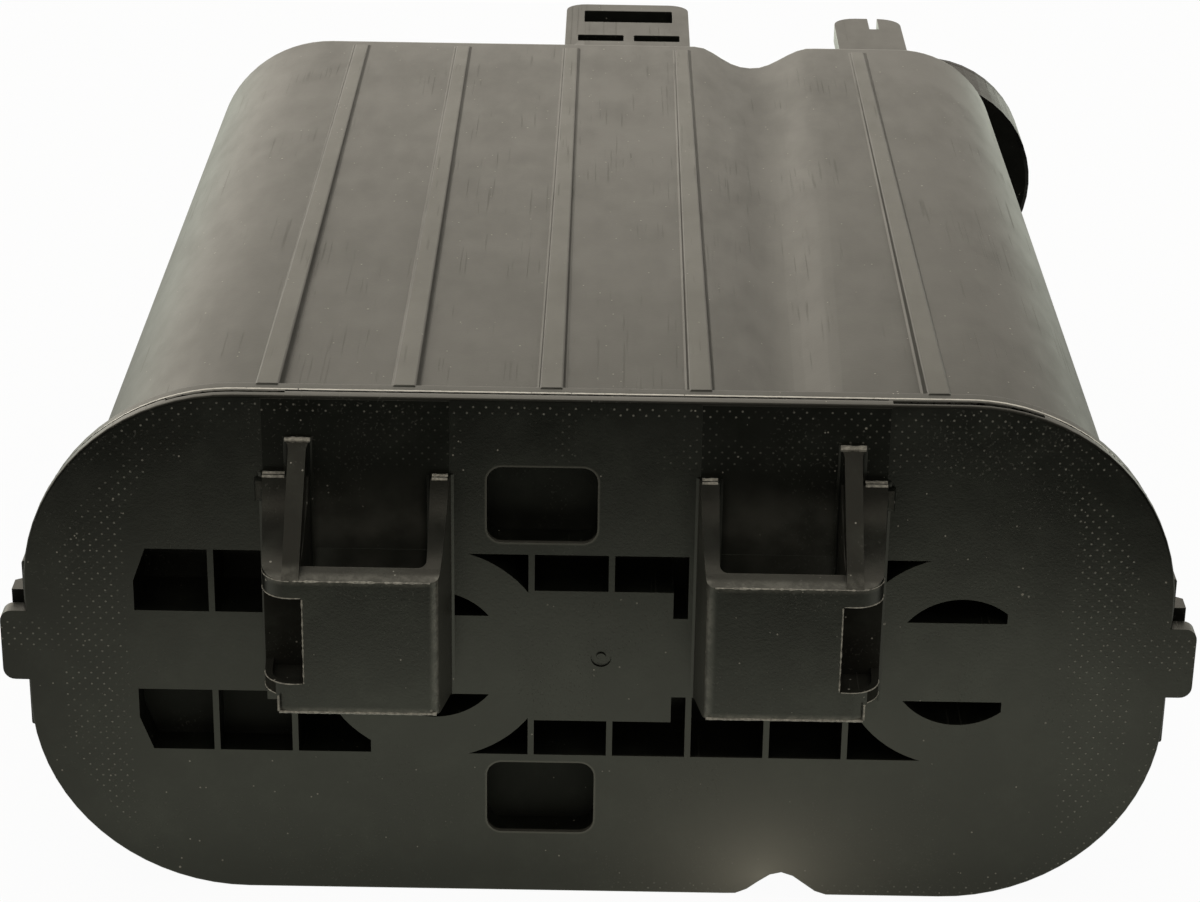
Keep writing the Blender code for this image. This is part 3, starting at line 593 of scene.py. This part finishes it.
def tapered(inset, nearY, farY):
    # the housing's taper as a solid, drawn in by an amount
    bm = bmesh.new()
    near = outlineFace(bm, grownSpec(housingLook["front"], -inset), nearY)
    far = outlineFace(bm, grownSpec(housingLook["back"], -inset), farY)
    loops = list(near.edges) + list(far.edges)
    bmesh.ops.delete(bm, geom=[near, far], context="FACES_ONLY")
    bmesh.ops.bridge_loops(bm, edges=loops)
    for y in (nearY, farY):
        bmesh.ops.contextual_create(bm, geom=[e for e in loops if onPlane(e, y)])
    return outward(bm)


def rimmedPlate(spec, front, rear):
    # plate between two planes, its rims rounded
    bm = bmesh.new()
    pull(bm, outlineFace(bm, spec, front), (0, rear - front, 0))
    outward(bm)
    easeOff(bm, [e for e in bm.edges if abs(e.verts[0].co.y - e.verts[1].co.y) < 1e-7], 0.0005, 3)
    return bm


def specAt(y):
    look = housingLook
    share = (y - look["flangeRear"]) / (look["length"] - look["flangeRear"])
    return {key: value + (look["back"][key] - value) * share for key, value in look["front"].items()}


def housingRib(x, lower):
    look = housingLook
    bm = bmesh.new()
    rows = []
    for y, half, high in ((look["flangeRear"] - 0.001, look["ribWidth"][0] / 2, look["ribHeight"][0]),
                          (look["ribEnd"], look["ribWidth"][1] / 2, look["ribHeight"][1])):
        spec = specAt(y)
        base, sign = (spec["bottom"], 1) if lower else (spec["top"], -1)
        side = [(half + look["ribFoot"], 0.0012), (half + look["ribFoot"], 0), (half, -min(0.0005, high * 0.3)),
                (half * look["ribCrest"], -high)]
        outline = side + [(-dx, dz) for dx, dz in reversed(side)]
        rows.append([bm.verts.new((x + dx, y, base + sign * dz)) for dx, dz in outline])
    for k in range(len(rows[0])):
        bm.faces.new((rows[0][k], rows[0][k - 1], rows[1][k - 1], rows[1][k]))
    for row in rows:
        bm.faces.new(row)
    outward(bm)
    crest = rows[0][3:5] + rows[1][3:5]
    top = [e for e in bm.edges if all(v in crest for v in e.verts)]
    easeOff(bm, top, 0.0003, 2)
    return bm


def tongues():
    look = tongueLook
    rear = toObject(block(*look["rear"], look["rearCorner"], standing=True))
    cut(rear, *[block(*slot, look["slotZ"], 0.0004, 2, True) for slot in look["slots"]])
    locator = toObject(block(*look["locator"], look["locatorCorner"], standing=True))
    cut(locator, block(*look["slit"]))
    return eased(rear, 0.0006, 3, 40), eased(locator, 0.001, 3, 40)


def stem(place, radius, beadRadius, bore, length):
    # hose stem with a flared foot, a bead and an eased mouth; its bore is cut with the housing's hollow
    wall = housingLook["length"]
    tip = wall + length
    foot = [(radius + 0.0022, wall - 0.001), (radius + 0.0016, wall + 0.0012), (radius + 0.0003, wall + 0.003),
            (radius, wall + 0.0045)]
    ring = [(radius, tip - 0.0204), (beadRadius - 0.0002, tip - 0.0192), (beadRadius, tip - 0.0184),
            (beadRadius - 0.0003, tip - 0.0176), (radius, tip - 0.0163)]
    mouth = [(radius, tip - 0.0016), (radius - 0.0004, tip - 0.0005), (max(radius - 0.001, bore), tip)]
    return spun(foot + ring + mouth, place, 36)


def sideLugs():
    look = lugLook
    lugs = []
    for side in (-1, 1):
        lugs.append(block([side * x for x in look["plate"]], look["plateY"], look["plateZ"], 0.0004, 2))
        near, far = (side * x for x in look["fin"])
        front, corner, foot = look["finY"]
        lugs.append(upright([(near, front), (far, front), (far, corner), (near, foot)], *look["finZ"]))
    return lugs


def housing():
    look = housingLook
    bm = tapered(0, look["start"], look["length"])
    rear = [e for e in bm.edges if all(abs(v.co.y - look["length"]) < 1e-6 for v in e.verts)]
    easeOff(bm, rear, look["rearEdge"], 5)
    body = toObject(bm)
    join(body, rimmedPlate(grownSpec(coverOutline, -look["flangeInset"]), look["flangeFront"], look["flangeRear"]))
    join(body, *[housingRib(x, lower) for x in look["ribs"] for lower in (False, True)])
    join(body, *sideLugs())
    join(body, *tongues())
    socket = look["socket"]
    join(body, *[stem(*measures) for measures in look["stems"]])
    join(body, spun(socket["outside"], socket["place"], 40))
    cut(body, tapered(look["wall"], 0, look["rearInside"]))
    divider = look["divider"]
    middle = (partitionX - divider["half"], partitionX + divider["half"])
    wall = toObject(block(middle, divider["y"], divider["z"]))
    shape(wall, tapered(divider["bite"], 0.01, 0.234), "INTERSECT")
    join(body, wall)
    for place, radius, beadRadius, bore, length in look["stems"]:
        cut(body, disc(bore, 0.228, look["length"] + length + 0.001, place, 32))
    cut(body, disc(socket["bore"], 0.228, socket["depth"], socket["place"], 32))
    finishPiece(body, "housing", bodyPlastic, ["canister_body"])
    otherFinish(body, crestPlastic, onRibCrest)


def onRibCrest(place, normal):
    look = housingLook
    y, width = place.y - faceY, look["ribWidth"][0]
    return (abs(normal.z) >= 0.97 and min(abs(place.x - x) for x in look["ribs"]) <= 0.0012
            and look["flangeRear"] + width < y < look["ribEnd"] - width)


housing()
print("housing made")

# The weld seam round the rim
seamLook = {
    # stretches along the rim: the left corner runs from 0 to 1, the top from 1 to 2, the right corner from 2 to 3;
    # then thickness, raggedness and the place along Y
    "thin": [((0, 0.8), 0.00034, 0.3, 0.0027), ((1.07, 1.89), 0.00026, 0.3, 0.0027),
             ((2.26, 3), 0.00036, 0.5, 0.0027)],
    "heavy": [((0.8, 1.07), 0.00072, 0.55, 0.0022), ((1.895, 2.22), 0.00104, 0.55, 0.0018)],
    # the edge entry is the pale bead along the flange's front rim, a painted highlight
    "steps": 60, "grooveDepth": 0.0009, "edge": ((0, 3), 0.0005, 0.08, 0.0041), "highlightInset": 0.0008,
}


def seamPlace(turn, y, inset):
    # a place on the rim, drawn in by an amount
    look = coverOutline
    corner, radius = look["cornerRight"], look["cornerLeft"] - inset
    along = min(max(turn - 1, 0), 1)
    angle = 0.5 * math.pi * (turn - 1 - along)
    return ((look["right"] - corner) * (2 * along - 1) + radius * math.sin(angle), y,
            look["top"] - corner + radius * math.cos(angle))


def seamTurns(span):
    count = max(2, int(seamLook["steps"] * (span[1] - span[0])))
    return [span[0] + (span[1] - span[0]) * k / count for k in range(count + 1)]


def seamBead(span, thick, ragged, y, inset=None):
    return bead([seamPlace(turn, y, inset or thick) for turn in seamTurns(span)], thick, ragged)


def seamGrooves():
    # room in the cover's rim for the heavy stretches of the weld seam
    grooves = []
    for span, thick, ragged, y in seamLook["heavy"]:
        turns = seamTurns(span)
        outer = [seamPlace(turn, y - thick * 0.9, -0.0005) for turn in turns]
        inner = [seamPlace(turn, y - thick * 0.9, seamLook["grooveDepth"]) for turn in reversed(turns)]
        grooves.append(slab(outer + inner, (0, 0.002, 0)))
    return grooves


# The end cover
def pocketCutter(farDepth):
    # one row of the lattice's pockets: ribs, ring walls and closed places are left standing
    look = coverLook
    low, high = look["pocketRows"]
    left, border, through = look["pocketLeft"], look["shallowTo"], look["through"]
    across, up = look["leftBevel"]
    outline = [(left, low), (border, low), (border, high), (left + across, high), (left, low + up)]
    row = toObject(slab([(x, -0.001, z) for x, z in outline], (0, farDepth + 0.001, 0)))
    join(row, block((border, look["rings"][1]), (-0.001, look["pocketDepth"]), (low, high)))
    for k in look["ribs"]:
        x = look["ribStart"] + look["ribPitch"] * k
        cut(row, block((x - look["ribWidth"] / 2, x + look["ribWidth"] / 2), through, (0.05, 0.08)))
    for x in look["rings"]:
        cut(row, disc(look["ringOuter"], *through, (x, midHeight), 72))
    cut(row, *[block(width, through, height) for width, height in look["solid"]])
    for x, limit in zip(look["rings"], look["ringEnds"]):
        sliver = toObject(disc(look["ringInner"], -0.001, look["pocketDepth"], (x, midHeight), 72))
        cut(sliver, block((-0.1, 0.1), through, (0, low)))
        if limit:
            cut(sliver, block((limit, 0.1), through, (0, 0.1)))
        join(row, sliver)
    return row


def upperPockets():
    # the upper row is closed where the brackets stand
    upper = pocketCutter(coverLook["pocketDepth"])
    for side in (-1, 1):
        ends = [sideways(side)(bracketLook[key]) for key in ("inner", "outer")]
        cut(upper, block(ends, coverLook["through"], (0.05, 0.09)))
    return upper


def turnedOver(source):
    # the same solid, turned over about the middle of the cover
    bm = bmesh.new()
    bm.from_mesh(source.data)
    discard(source)
    bmesh.ops.scale(bm, vec=(1, 1, -1), verts=bm.verts)
    bmesh.ops.translate(bm, vec=(0, 0, 2 * midHeight), verts=bm.verts)
    bmesh.ops.reverse_faces(bm, faces=bm.faces)
    return bm


bracketLook = {
    "centre": bracketCentre, "inner": 0.02245, "outer": 0.05615, "reach": 0.0198, "plate": 0.004, "draft": 0.00115,
    "slot": (0.0259, 0.0481), "slotDraft": 0.0005, "bigCorner": 0.0052, "smallCorner": 0.002, "slotCorner": 0.0016,
    "root": 0.001, "flare": 0.0007, "shelf": 0.075,
    "side": [(0.001, 0.0424), (0, 0.0424), (-0.0198, 0.049), (-0.0198, 0.075), (-0.016, 0.076),
             (-0.012, 0.0776), (-0.008, 0.0801), (-0.0045, 0.0832), (-0.002, 0.0865), (-0.0018, 0.087),
             (0.001, 0.0872)],
    "rail": [(-0.0198, 0.0015, 0.075), (-0.0018, 0.0016, 0.0924), (-0.0012, 0.00175, 0.0929),
             (-0.0007, 0.0021, 0.0934), (-0.0002, 0.0026, 0.0941), (0.0006, 0.0027, 0.0942)],
    "railAxis": 0.0496, "railLow": 0.06,
    "window": {"from": 0.0476, "floor": -0.01, "low": 0.0546, "high": 0.0717},
    "lip": 0.0013,
    "step": {"from": 0.0522, "floor": -0.008, "high": 0.0523},
    "gussetNear": 0.055, "panelHeight": (0.072, 0.1014),
    # rings of the gusset: place along Y, far end, foot and head
    "gusset": [(0.0006, 0.0578, 0.0808, 0.086), (-0.001, 0.0573, 0.0818, 0.0856),
               (-0.0028, 0.0562, 0.0832, 0.085)],
}


def planSlab(corners, rounded, low, high):
    # upright solid over a plan, with some of its corners rounded
    bm = bmesh.new()
    made = [bm.verts.new((x, y, low)) for x, y in corners]
    bm.faces.new(made)
    for index, radius in rounded:
        easeOff(bm, [made[index]], radius, 8, "VERTICES")
    pull(bm, bm.faces[:][0], (0, 0, high - low))
    return outward(bm)


def bridged(loops):
    # closed solid through rings of the same number of corners
    bm = bmesh.new()
    rows = [[bm.verts.new(p) for p in loop] for loop in loops]
    for row in rows:
        bm.faces.new(row)
    for near, far in zip(rows, rows[1:]):
        for k in range(len(near)):
            bm.faces.new((near[k], near[k - 1], far[k - 1], far[k]))
    inner = [f for f in bm.faces if any(all(v in row for v in f.verts) for row in rows[1:-1])]
    bmesh.ops.delete(bm, geom=inner, context="FACES_ONLY")
    return outward(bm)


def sideways(side):
    # turns a distance from the plane between the brackets into a place along X
    return lambda distance: bracketLook["centre"] + side * distance


def cornerPath(inset, steps=8):
    # the bracket's outer front corner in plan, drawn in by an amount
    look = bracketLook
    radius = look["bigCorner"] - inset
    middle = (look["outer"] - look["draft"] - look["bigCorner"], -look["reach"] + look["bigCorner"])
    turns = [0.5 * math.pi * k / steps for k in range(steps + 1)]
    return [(middle[0] + radius * math.sin(a), middle[1] - radius * math.cos(a)) for a in turns]


def bracket(side):
    look = bracketLook
    reach, flare, root = look["reach"], look["flare"], look["root"]
    across = sideways(side)
    ends = look["inner"] - 0.002, look["outer"] + 0.002
    profile = [(across(ends[0]), y, z) for y, z in look["side"]]
    body = toObject(slab(profile, (side * (ends[1] - ends[0]), 0, 0)))
    rail = []
    for y, half, high in look["rail"]:
        near, far = across(look["railAxis"] - half), across(look["railAxis"] + half)
        rail.append([(near, y, look["railLow"]), (far, y, look["railLow"]), (far, y, high), (near, y, high)])
    join(body, bridged(rail))
    plan = [(look["inner"] - flare, root), (look["inner"] - flare, 0), (look["inner"] - flare * 0.3, -flare * 0.4),
            (look["inner"] + 0.00005, -flare * 1.2), (look["inner"] + look["draft"], -reach), *cornerPath(0),
            (look["outer"] - 0.00005, -flare * 1.2), (look["outer"] + flare * 0.3, -flare * 0.4),
            (look["outer"] + flare, 0), (look["outer"] + flare, root)]
    shape(body, planSlab([(across(d), y) for d, y in plan], ((4, look["smallCorner"]),), 0.04, 0.1), "INTERSECT")
    near, far = look["slot"]
    back = far - look["slotDraft"]
    slot = [(near + flare, root + 0.001), (near + flare, -0.0002), (near + flare * 0.3, -flare * 0.6),
            (near, -flare * 1.4), (near, -reach + look["plate"]), (far, -reach + look["plate"]), (back, -flare * 1.4),
            (back - flare * 0.3, -flare * 0.6), (back - flare, -0.0002), (back - flare, root + 0.001)]
    cut(body, planSlab([(across(d), y) for d, y in slot], ((4, look["slotCorner"]),), 0.03, 0.11))
    window, step = look["window"], look["step"]
    inner, beyond = window["from"] + 0.0008, across(0.06)
    behindLip = cornerPath(look["lip"])
    hollow = [(inner, window["floor"]), (inner, behindLip[0][1]), *behindLip,
              (behindLip[-1][0] + 0.0002, window["floor"])]
    cut(body, upright([(across(d), y) for d, y in hollow], step["high"] + 0.001, window["low"] + 0.001),
        block((across(window["from"]), beyond), (-0.03, window["floor"]), (window["low"], window["high"]), 0.0004, 3),
        block((across(step["from"]), beyond), (-0.03, step["floor"]), (0.03, step["high"])))
    return eased(body, coverLook["edge"], 2, 35)


def gusset(side):
    # the small wedge beside the outer arm
    across = sideways(side)
    near = across(bracketLook["gussetNear"])
    return bridged([[(near, y, low), (across(far), y, low), (across(far), y, high), (near, y, high)]
                    for y, far, low, high in bracketLook["gusset"]])


def slidePanel(side):
    # the face stands a hair proud where the mould's slides ran, above and beside each bracket
    ends = [sideways(side)(bracketLook[key]) for key in ("inner", "outer")]
    panel = block(ends, (-0.00012, 0.0008), bracketLook["panelHeight"])
    easeOff(panel, [e for e in panel.edges if all(v.co.y < 0 for v in e.verts)], 0.0001, 2)
    return panel


def endCover():
    look = coverLook
    cover = toObject(rimmedPlate(coverOutline, 0, look["skin"]))
    back = look["skin"] - 0.0008
    width, height = look["waffle"]
    join(cover, block(width, (back, look["waffleBack"]), height, 0.003))
    for x in look["rings"]:
        join(cover, disc(look["ringOuter"] + 0.0012, back, look["waffleBack"], (x, midHeight), 48))
        cut(cover, pipe(*look["springSeat"], look["skin"], 0.02, (x, midHeight), 48))
    recess = look["recess"]
    left, right = recess["x"] - recess["half"], recess["x"] + recess["half"]
    for sign in (-1, 1):
        z = recess["middle"] + sign * recess["rise"]
        join(cover, block((left - recess["wall"], right + recess["wall"]), (back, recess["back"]),
                          (z - recess["backTall"], z + recess["backTall"]), recess["backCorner"]))
        cut(cover, block((left, right), (-0.001, recess["depth"]), (z - recess["tall"], z + recess["tall"]),
                         recess["corner"], 8))
    cut(cover, turnedOver(pocketCutter(look["shallowDepth"])), upperPockets(), *seamGrooves())
    width, height = look["tab"]
    for side in (-1, 1):
        join(cover, block([side * x for x in width], (0, look["skin"] + 0.0008), height, 0.0022))
    eased(cover, look["edge"] * 0.8, 2, 50)
    for side in (-1, 1):
        join(cover, slidePanel(side), bracket(side), gusset(side))
    place, radii, depth = look["gate"]
    cut(cover, pipe(*radii, -0.001, depth, place, 32))
    finishPiece(cover, "endCover", coverPlastic, ["end_cover"], smooth=32)
    for material, wanted in ((bracketPlastic, onBracket), (panelPlastic, onSlidePanel), (flankPlastic, onFlank),
                             (flankPlastic, onGusset), (hollowPlastic, onFloor), (windowPlastic, inWindow),
                             (lipHighlightPlastic, onPocketLip)):
        otherFinish(cover, material, wanted)


def fromMiddle(place):
    return abs(place.x - bracketLook["centre"])


def onBracket(place, normal):
    return place.y < faceY - 0.0004


def onSlidePanel(place, normal):
    within = bracketLook["inner"] < fromMiddle(place) < bracketLook["outer"]
    return within and -0.0002 < place.y - faceY < -0.00005 and normal.y < -0.9


def onFlank(place, normal):
    # the sides of the inner arms that face each other
    return abs(normal.x) > 0.9 and onBracket(place, normal) and fromMiddle(place) < bracketLook["inner"] + 0.0014


def onGusset(place, normal):
    return fromMiddle(place) > 0.0563 and -0.003 < place.y - faceY < -0.0006 and place.z > 0.08


def inWindow(place, normal):
    # the inside of a bracket's window, down behind its lip
    look = bracketLook
    window, lip = look["window"], look["lip"]
    deep = place.y - faceY + look["reach"]
    return (window["from"] - 0.0002 < fromMiddle(place) < look["outer"] - lip
            and lip - 0.0002 < deep < look["reach"] + window["floor"] + 0.0002
            and look["step"]["high"] + 0.0008 < place.z < window["high"])


def onPocketLip(place, normal):
    # the eased edges of the lattice's openings, whose pale finish is a painted highlight
    inRow = abs(abs(place.z - midHeight) - 0.0145) < 0.0072 and abs(place.x) < 0.0865
    return inRow and -0.95 < normal.y < -0.25 and abs(place.y - faceY - 0.0002) < 0.00022


def onFloor(place, normal):
    # the floors of the recesses and of the shallow pockets
    levels = coverLook["recess"]["depth"], coverLook["shallowDepth"]
    return normal.y < -0.9 and any(abs(place.y - faceY - level) < 0.0003 for level in levels)


endCover()
print("end cover made")

# Ragged mould flash, pale beads painted as edge highlights, and black beads painted as shade in the seam
beadLook = {
    "every": 0.0005, "sides": 1, "windowEdge": (0.0478, -0.0197), "stepBead": (0.00014, 0.5),
    # beads round the front corner: height, thickness and raggedness
    "corner": [(0.075, 0.00013, 0.7), (0.0717, 0.00014, 0.3), (0.0546, 0.00014, 0.5)],
    # straight beads: from and to beside the brackets, place along Y, from and to in height, thickness, raggedness
    "lines": [
        (0.025, 0.0498, -0.0197, 0.075, 0.075, 0.00024, 0.8), (0.024, 0.0521, -0.0197, 0.049, 0.049, 0.0003, 0.3),
        (0.0476, 0.0476, -0.0198, 0.0548, 0.0715, 0.00018, 0.8),
        (0.0522, 0.0522, -0.0197, 0.0492, 0.0522, 0.00024, 0.4),
        (0.0228, 0.0256, -0.0016, 0.0868, 0.0868, 0.00038, 0.2), (0.0228, 0.0256, -0.0006, 0.087, 0.087, 0.00045, 0.2),
        (0.052, 0.056, -0.0016, 0.0868, 0.0868, 0.00038, 0.2), (0.052, 0.056, -0.0006, 0.087, 0.087, 0.00045, 0.2),
        (0.0473, 0.0519, -0.0006, 0.0937, 0.0937, 0.0006, 0.4),
    ],
}


def bead(points, thick, ragged):
    # thin closed line of plastic along a path, of uneven thickness
    line = bpy.data.curves.new("bead", "CURVE")
    line.dimensions = "3D"
    line.bevel_depth = thick
    line.bevel_resolution = beadLook["sides"]
    line.use_fill_caps = True
    places = [Vector(points[0])]
    for start, end in zip(points, points[1:]):
        count = max(1, int((Vector(end) - Vector(start)).length / beadLook["every"]))
        places += [Vector(start).lerp(Vector(end), (k + 1) / count) for k in range(count)]
    spline = line.splines.new("POLY")
    spline.points.add(len(places) - 1)
    for point, place in zip(spline.points, places):
        point.co = (*place, 1)
        point.radius = 1 - ragged * scatter.random()
    holder = toHolder(line)
    mesh = evaluated(holder)
    discard(holder)
    return toHolder(mesh)


def gathered(parts):
    # several solids in one piece
    bm = bmesh.new()
    for part in parts:
        bm.from_mesh(part.data)
        discard(part)
    return toObject(bm)


def bracketFlashHighlights():
    # ragged beads along the brackets' edges and caps, pale as painted highlights
    parts = []
    for side in (-1, 1):
        across = sideways(side)
        for near, far, y, low, high, thick, ragged in beadLook["lines"]:
            parts.append(bead([(across(near), y, low), (across(far), y, high)], thick, ragged))
        for z, thick, ragged in beadLook["corner"]:
            path = [beadLook["windowEdge"]] * (z < bracketLook["shelf"]) + cornerPath(0)
            parts.append(bead([(across(d), y, z) for d, y in path], thick, ragged))
        step = bracketLook["step"]
        path = [(across(d), y, step["high"]) for d, y in cornerPath(0) if d > step["from"]]
        parts.append(bead(path, *beadLook["stepBead"]))
    finishPiece(gathered(parts), "bracketFlashHighlights", flashHighlightPlastic)


def shadedSeamFlash():
    # the seam's beads are black and without gloss, painted shade in the joint
    dark = [seamBead(*stretch) for stretch in seamLook["thin"] + seamLook["heavy"]]
    finishPiece(gathered(dark), "shadedSeamFlash", seamShadePlastic)
    # a pale bead on the flange's front rim, a painted highlight
    finishPiece(seamBead(*seamLook["edge"], seamLook["highlightInset"]), "flangeHighlight", rimHighlightPlastic)


bracketFlashHighlights()
shadedSeamFlash()
print("flash made")

# Carried-over solids
for material, nodeNames in (
        (plateGrey, "main_pressure_plate vent_pressure_plate"), (springSteel, "main_spring vent_spring"),
        (charcoalBlack, "main_charcoal_bed vent_charcoal_bed"), (canPlastic, "vent_filter_housing vent_filter_lid"),
        (foamGrey, "main_front_pad vent_front_pad tank_port_pad purge_port_pad vent_rear_pad vent_filter_foam"),
        (sealRubber, "vent_seal")):
    for nodeName in nodeNames.split():
        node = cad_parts[nodeName]
        node.data.materials.clear()
        node.data.materials.append(material)

# Stage, light and camera
stageLook = {
    # bands as a start and an end, with the values there where they aren't 0 and 1
    "tableSkew": 0.16, "floorTone": 0.55, "floorReach": 4.0, "floorWhite": 1.03, "whiteShare": 0.93,
    "tableEdge": (-0.33, -0.225), "tableGloss": 0.92, "tableColour": (0.96, 1, 0.86), "tableRise": 0.36,
    "leanRoom": (-0.7, 0.7, 1.15, 0.65), "leanLeft": (-0.085, -0.125, 1, 0.48), "leanRight": (0.1, 0.14, 1, 0.66),
    "riseFront": (-0.3, -0.24), "riseRear": (-0.17, -0.215), "riseLeft": (-0.08, -0.03, 0.15, 1),
    "risePeak": 0.085, "peakShape": (0.06, 0.02, 1, 1.7), "contactFront": (-0.162, -0.137),
    "contactRear": (0.2, 0.1), "contact": 0.3, "tableBehind": 1.6, "behindBand": (0.15, 0.6), "farGlow": 0.01,
    "backdrop": 1.28, "backdropBand": (-0.3, 0.25), "backdropFall": (0.2, 0.5, 1.22, 0.8), "lean": 1.1,
    "glow": 0.68, "glowBand": (0.62, 0.74), "zenith": 0.06, "zenithBand": (0.9, 0.98),
    "frontLamp": 1.15, "lampNear": (-0.33, -0.39), "lampFar": (-0.58, -0.48), "lampHigh": (0.78, 0.88),
    "front": 0.03, "frontGlow": 0.2, "frontBand": (-0.3, -0.6), "frontLow": (0.12, 0.3),
    "frontHigh": (0.75, 0.6), "roomColour": (1, 0.93, 0.81), "soft": 0.4,
}
white = (1, 1, 1)


def makeFloor():
    # white for the camera; gloss sees a lit table that ends in front of the canister
    look = stageLook
    bm = bmesh.new()
    bmesh.ops.create_grid(bm, x_segments=1, y_segments=1, size=look["floorReach"])
    floor = toObject(bm)
    floor.name = "floor"
    finish = Finish("paleFloor", (look["floorTone"],) * 3, 0.9)
    x, y, z = finish.axes()
    near = (y - larger(x, -0.05) * look["tableSkew"]).between(*look["tableEdge"])
    lean = x.between(*look["leanRoom"]) * x.between(*look["leanLeft"]) * x.between(*look["leanRight"])
    rise = y.between(*look["riseFront"]) * y.between(*look["riseRear"]) * x.between(*look["riseLeft"])
    rise = rise * look["tableRise"] * abs(x - look["risePeak"]).between(*look["peakShape"])
    # the table's glow is dimmed just in front of the canister, a painted contact shadow
    contact = y.between(*look["contactFront"]) * y.between(*look["contactRear"]) * look["contact"]
    level = 1 + rise - contact + y.between(*look["behindBand"]) * look["tableBehind"]
    far = finish.glow("Emission", white, look["farGlow"])
    reach = finish.mixed(near, far, Link(finish, finish.shader.outputs[0]))
    shine = finish.glow("Emission", look["tableColour"], level)
    mirrored = (finish.ray("Glossy") + finish.ray("Transmission")) * near * lean * look["tableGloss"]
    reach = finish.mixed(mirrored, reach, shine)
    bright = finish.glow("Emission", white, look["floorWhite"])
    finish.show(finish.mixed(finish.ray("Camera") * look["whiteShare"], reach, bright), "Material Output")
    floor.data.materials.append(finish.material)


def makeWorld():
    # white for the camera; gloss sees a bright room behind, a lamp high in front and little else
    look = stageLook
    world = bpy.data.worlds.new("studio")
    bpy.context.scene.world = world
    world.use_nodes = True
    room = Network(world.node_tree, "Generated")
    gloss = room.ray("Glossy")
    x, y, z = room.axes()
    behind = y.between(*look["backdropBand"]) * (1 - larger(x, x * 0.25) * look["lean"])
    falloff = z.between(*look["backdropFall"]) * look["backdrop"] + z.between(*look["glowBand"]) * look["glow"]
    high = z.between(*look["zenithBand"])
    level = behind * falloff * (1 - high) + high * look["zenith"]
    lamp = y.between(*look["lampNear"]) * y.between(*look["lampFar"]) * z.between(*look["lampHigh"])
    level = level + lamp * look["frontLamp"] + look["front"]
    front = y.between(*look["frontBand"]) * z.between(*look["frontLow"]) * z.between(*look["frontHigh"])
    level = (level + front * look["frontGlow"]) * gloss + (1 - gloss) * look["soft"]
    warm = room.glow("Background", look["roomColour"], level)
    room.show(room.mixed(room.ray("Camera"), warm, room.glow("Background", white, 1)), "World Output")


def makeLamp():
    # softbox overhead, which gloss doesn't see
    lamp = bpy.data.lights.new("overhead", "AREA")
    lamp.shape = "RECTANGLE"
    lamp.size, lamp.size_y = 1.4, 0.9
    lamp.energy = 5
    holder = toHolder(lamp)
    holder.location = (0, 0.15, 1.3)
    holder.rotation_euler = (Vector((0, 0, 0.05)) - holder.location).to_track_quat("-Z", "Y").to_euler()
    holder.visible_glossy = False


def makeCamera():
    lens = bpy.data.cameras.new("camera")
    lens.lens = 95.75
    lens.sensor_width = 36
    lens.clip_start = 0.01
    holder = toHolder(lens)
    holder.location = (0.0009, -0.6535, 0.3268)
    holder.rotation_euler = [math.radians(angle) for angle in (65.69, -0.8, 0.478)]
    bpy.context.scene.camera = holder


makeFloor()
makeWorld()
makeLamp()
makeCamera()
bpy.context.scene.view_settings.view_transform = "Standard"
print("stage, light and camera set")
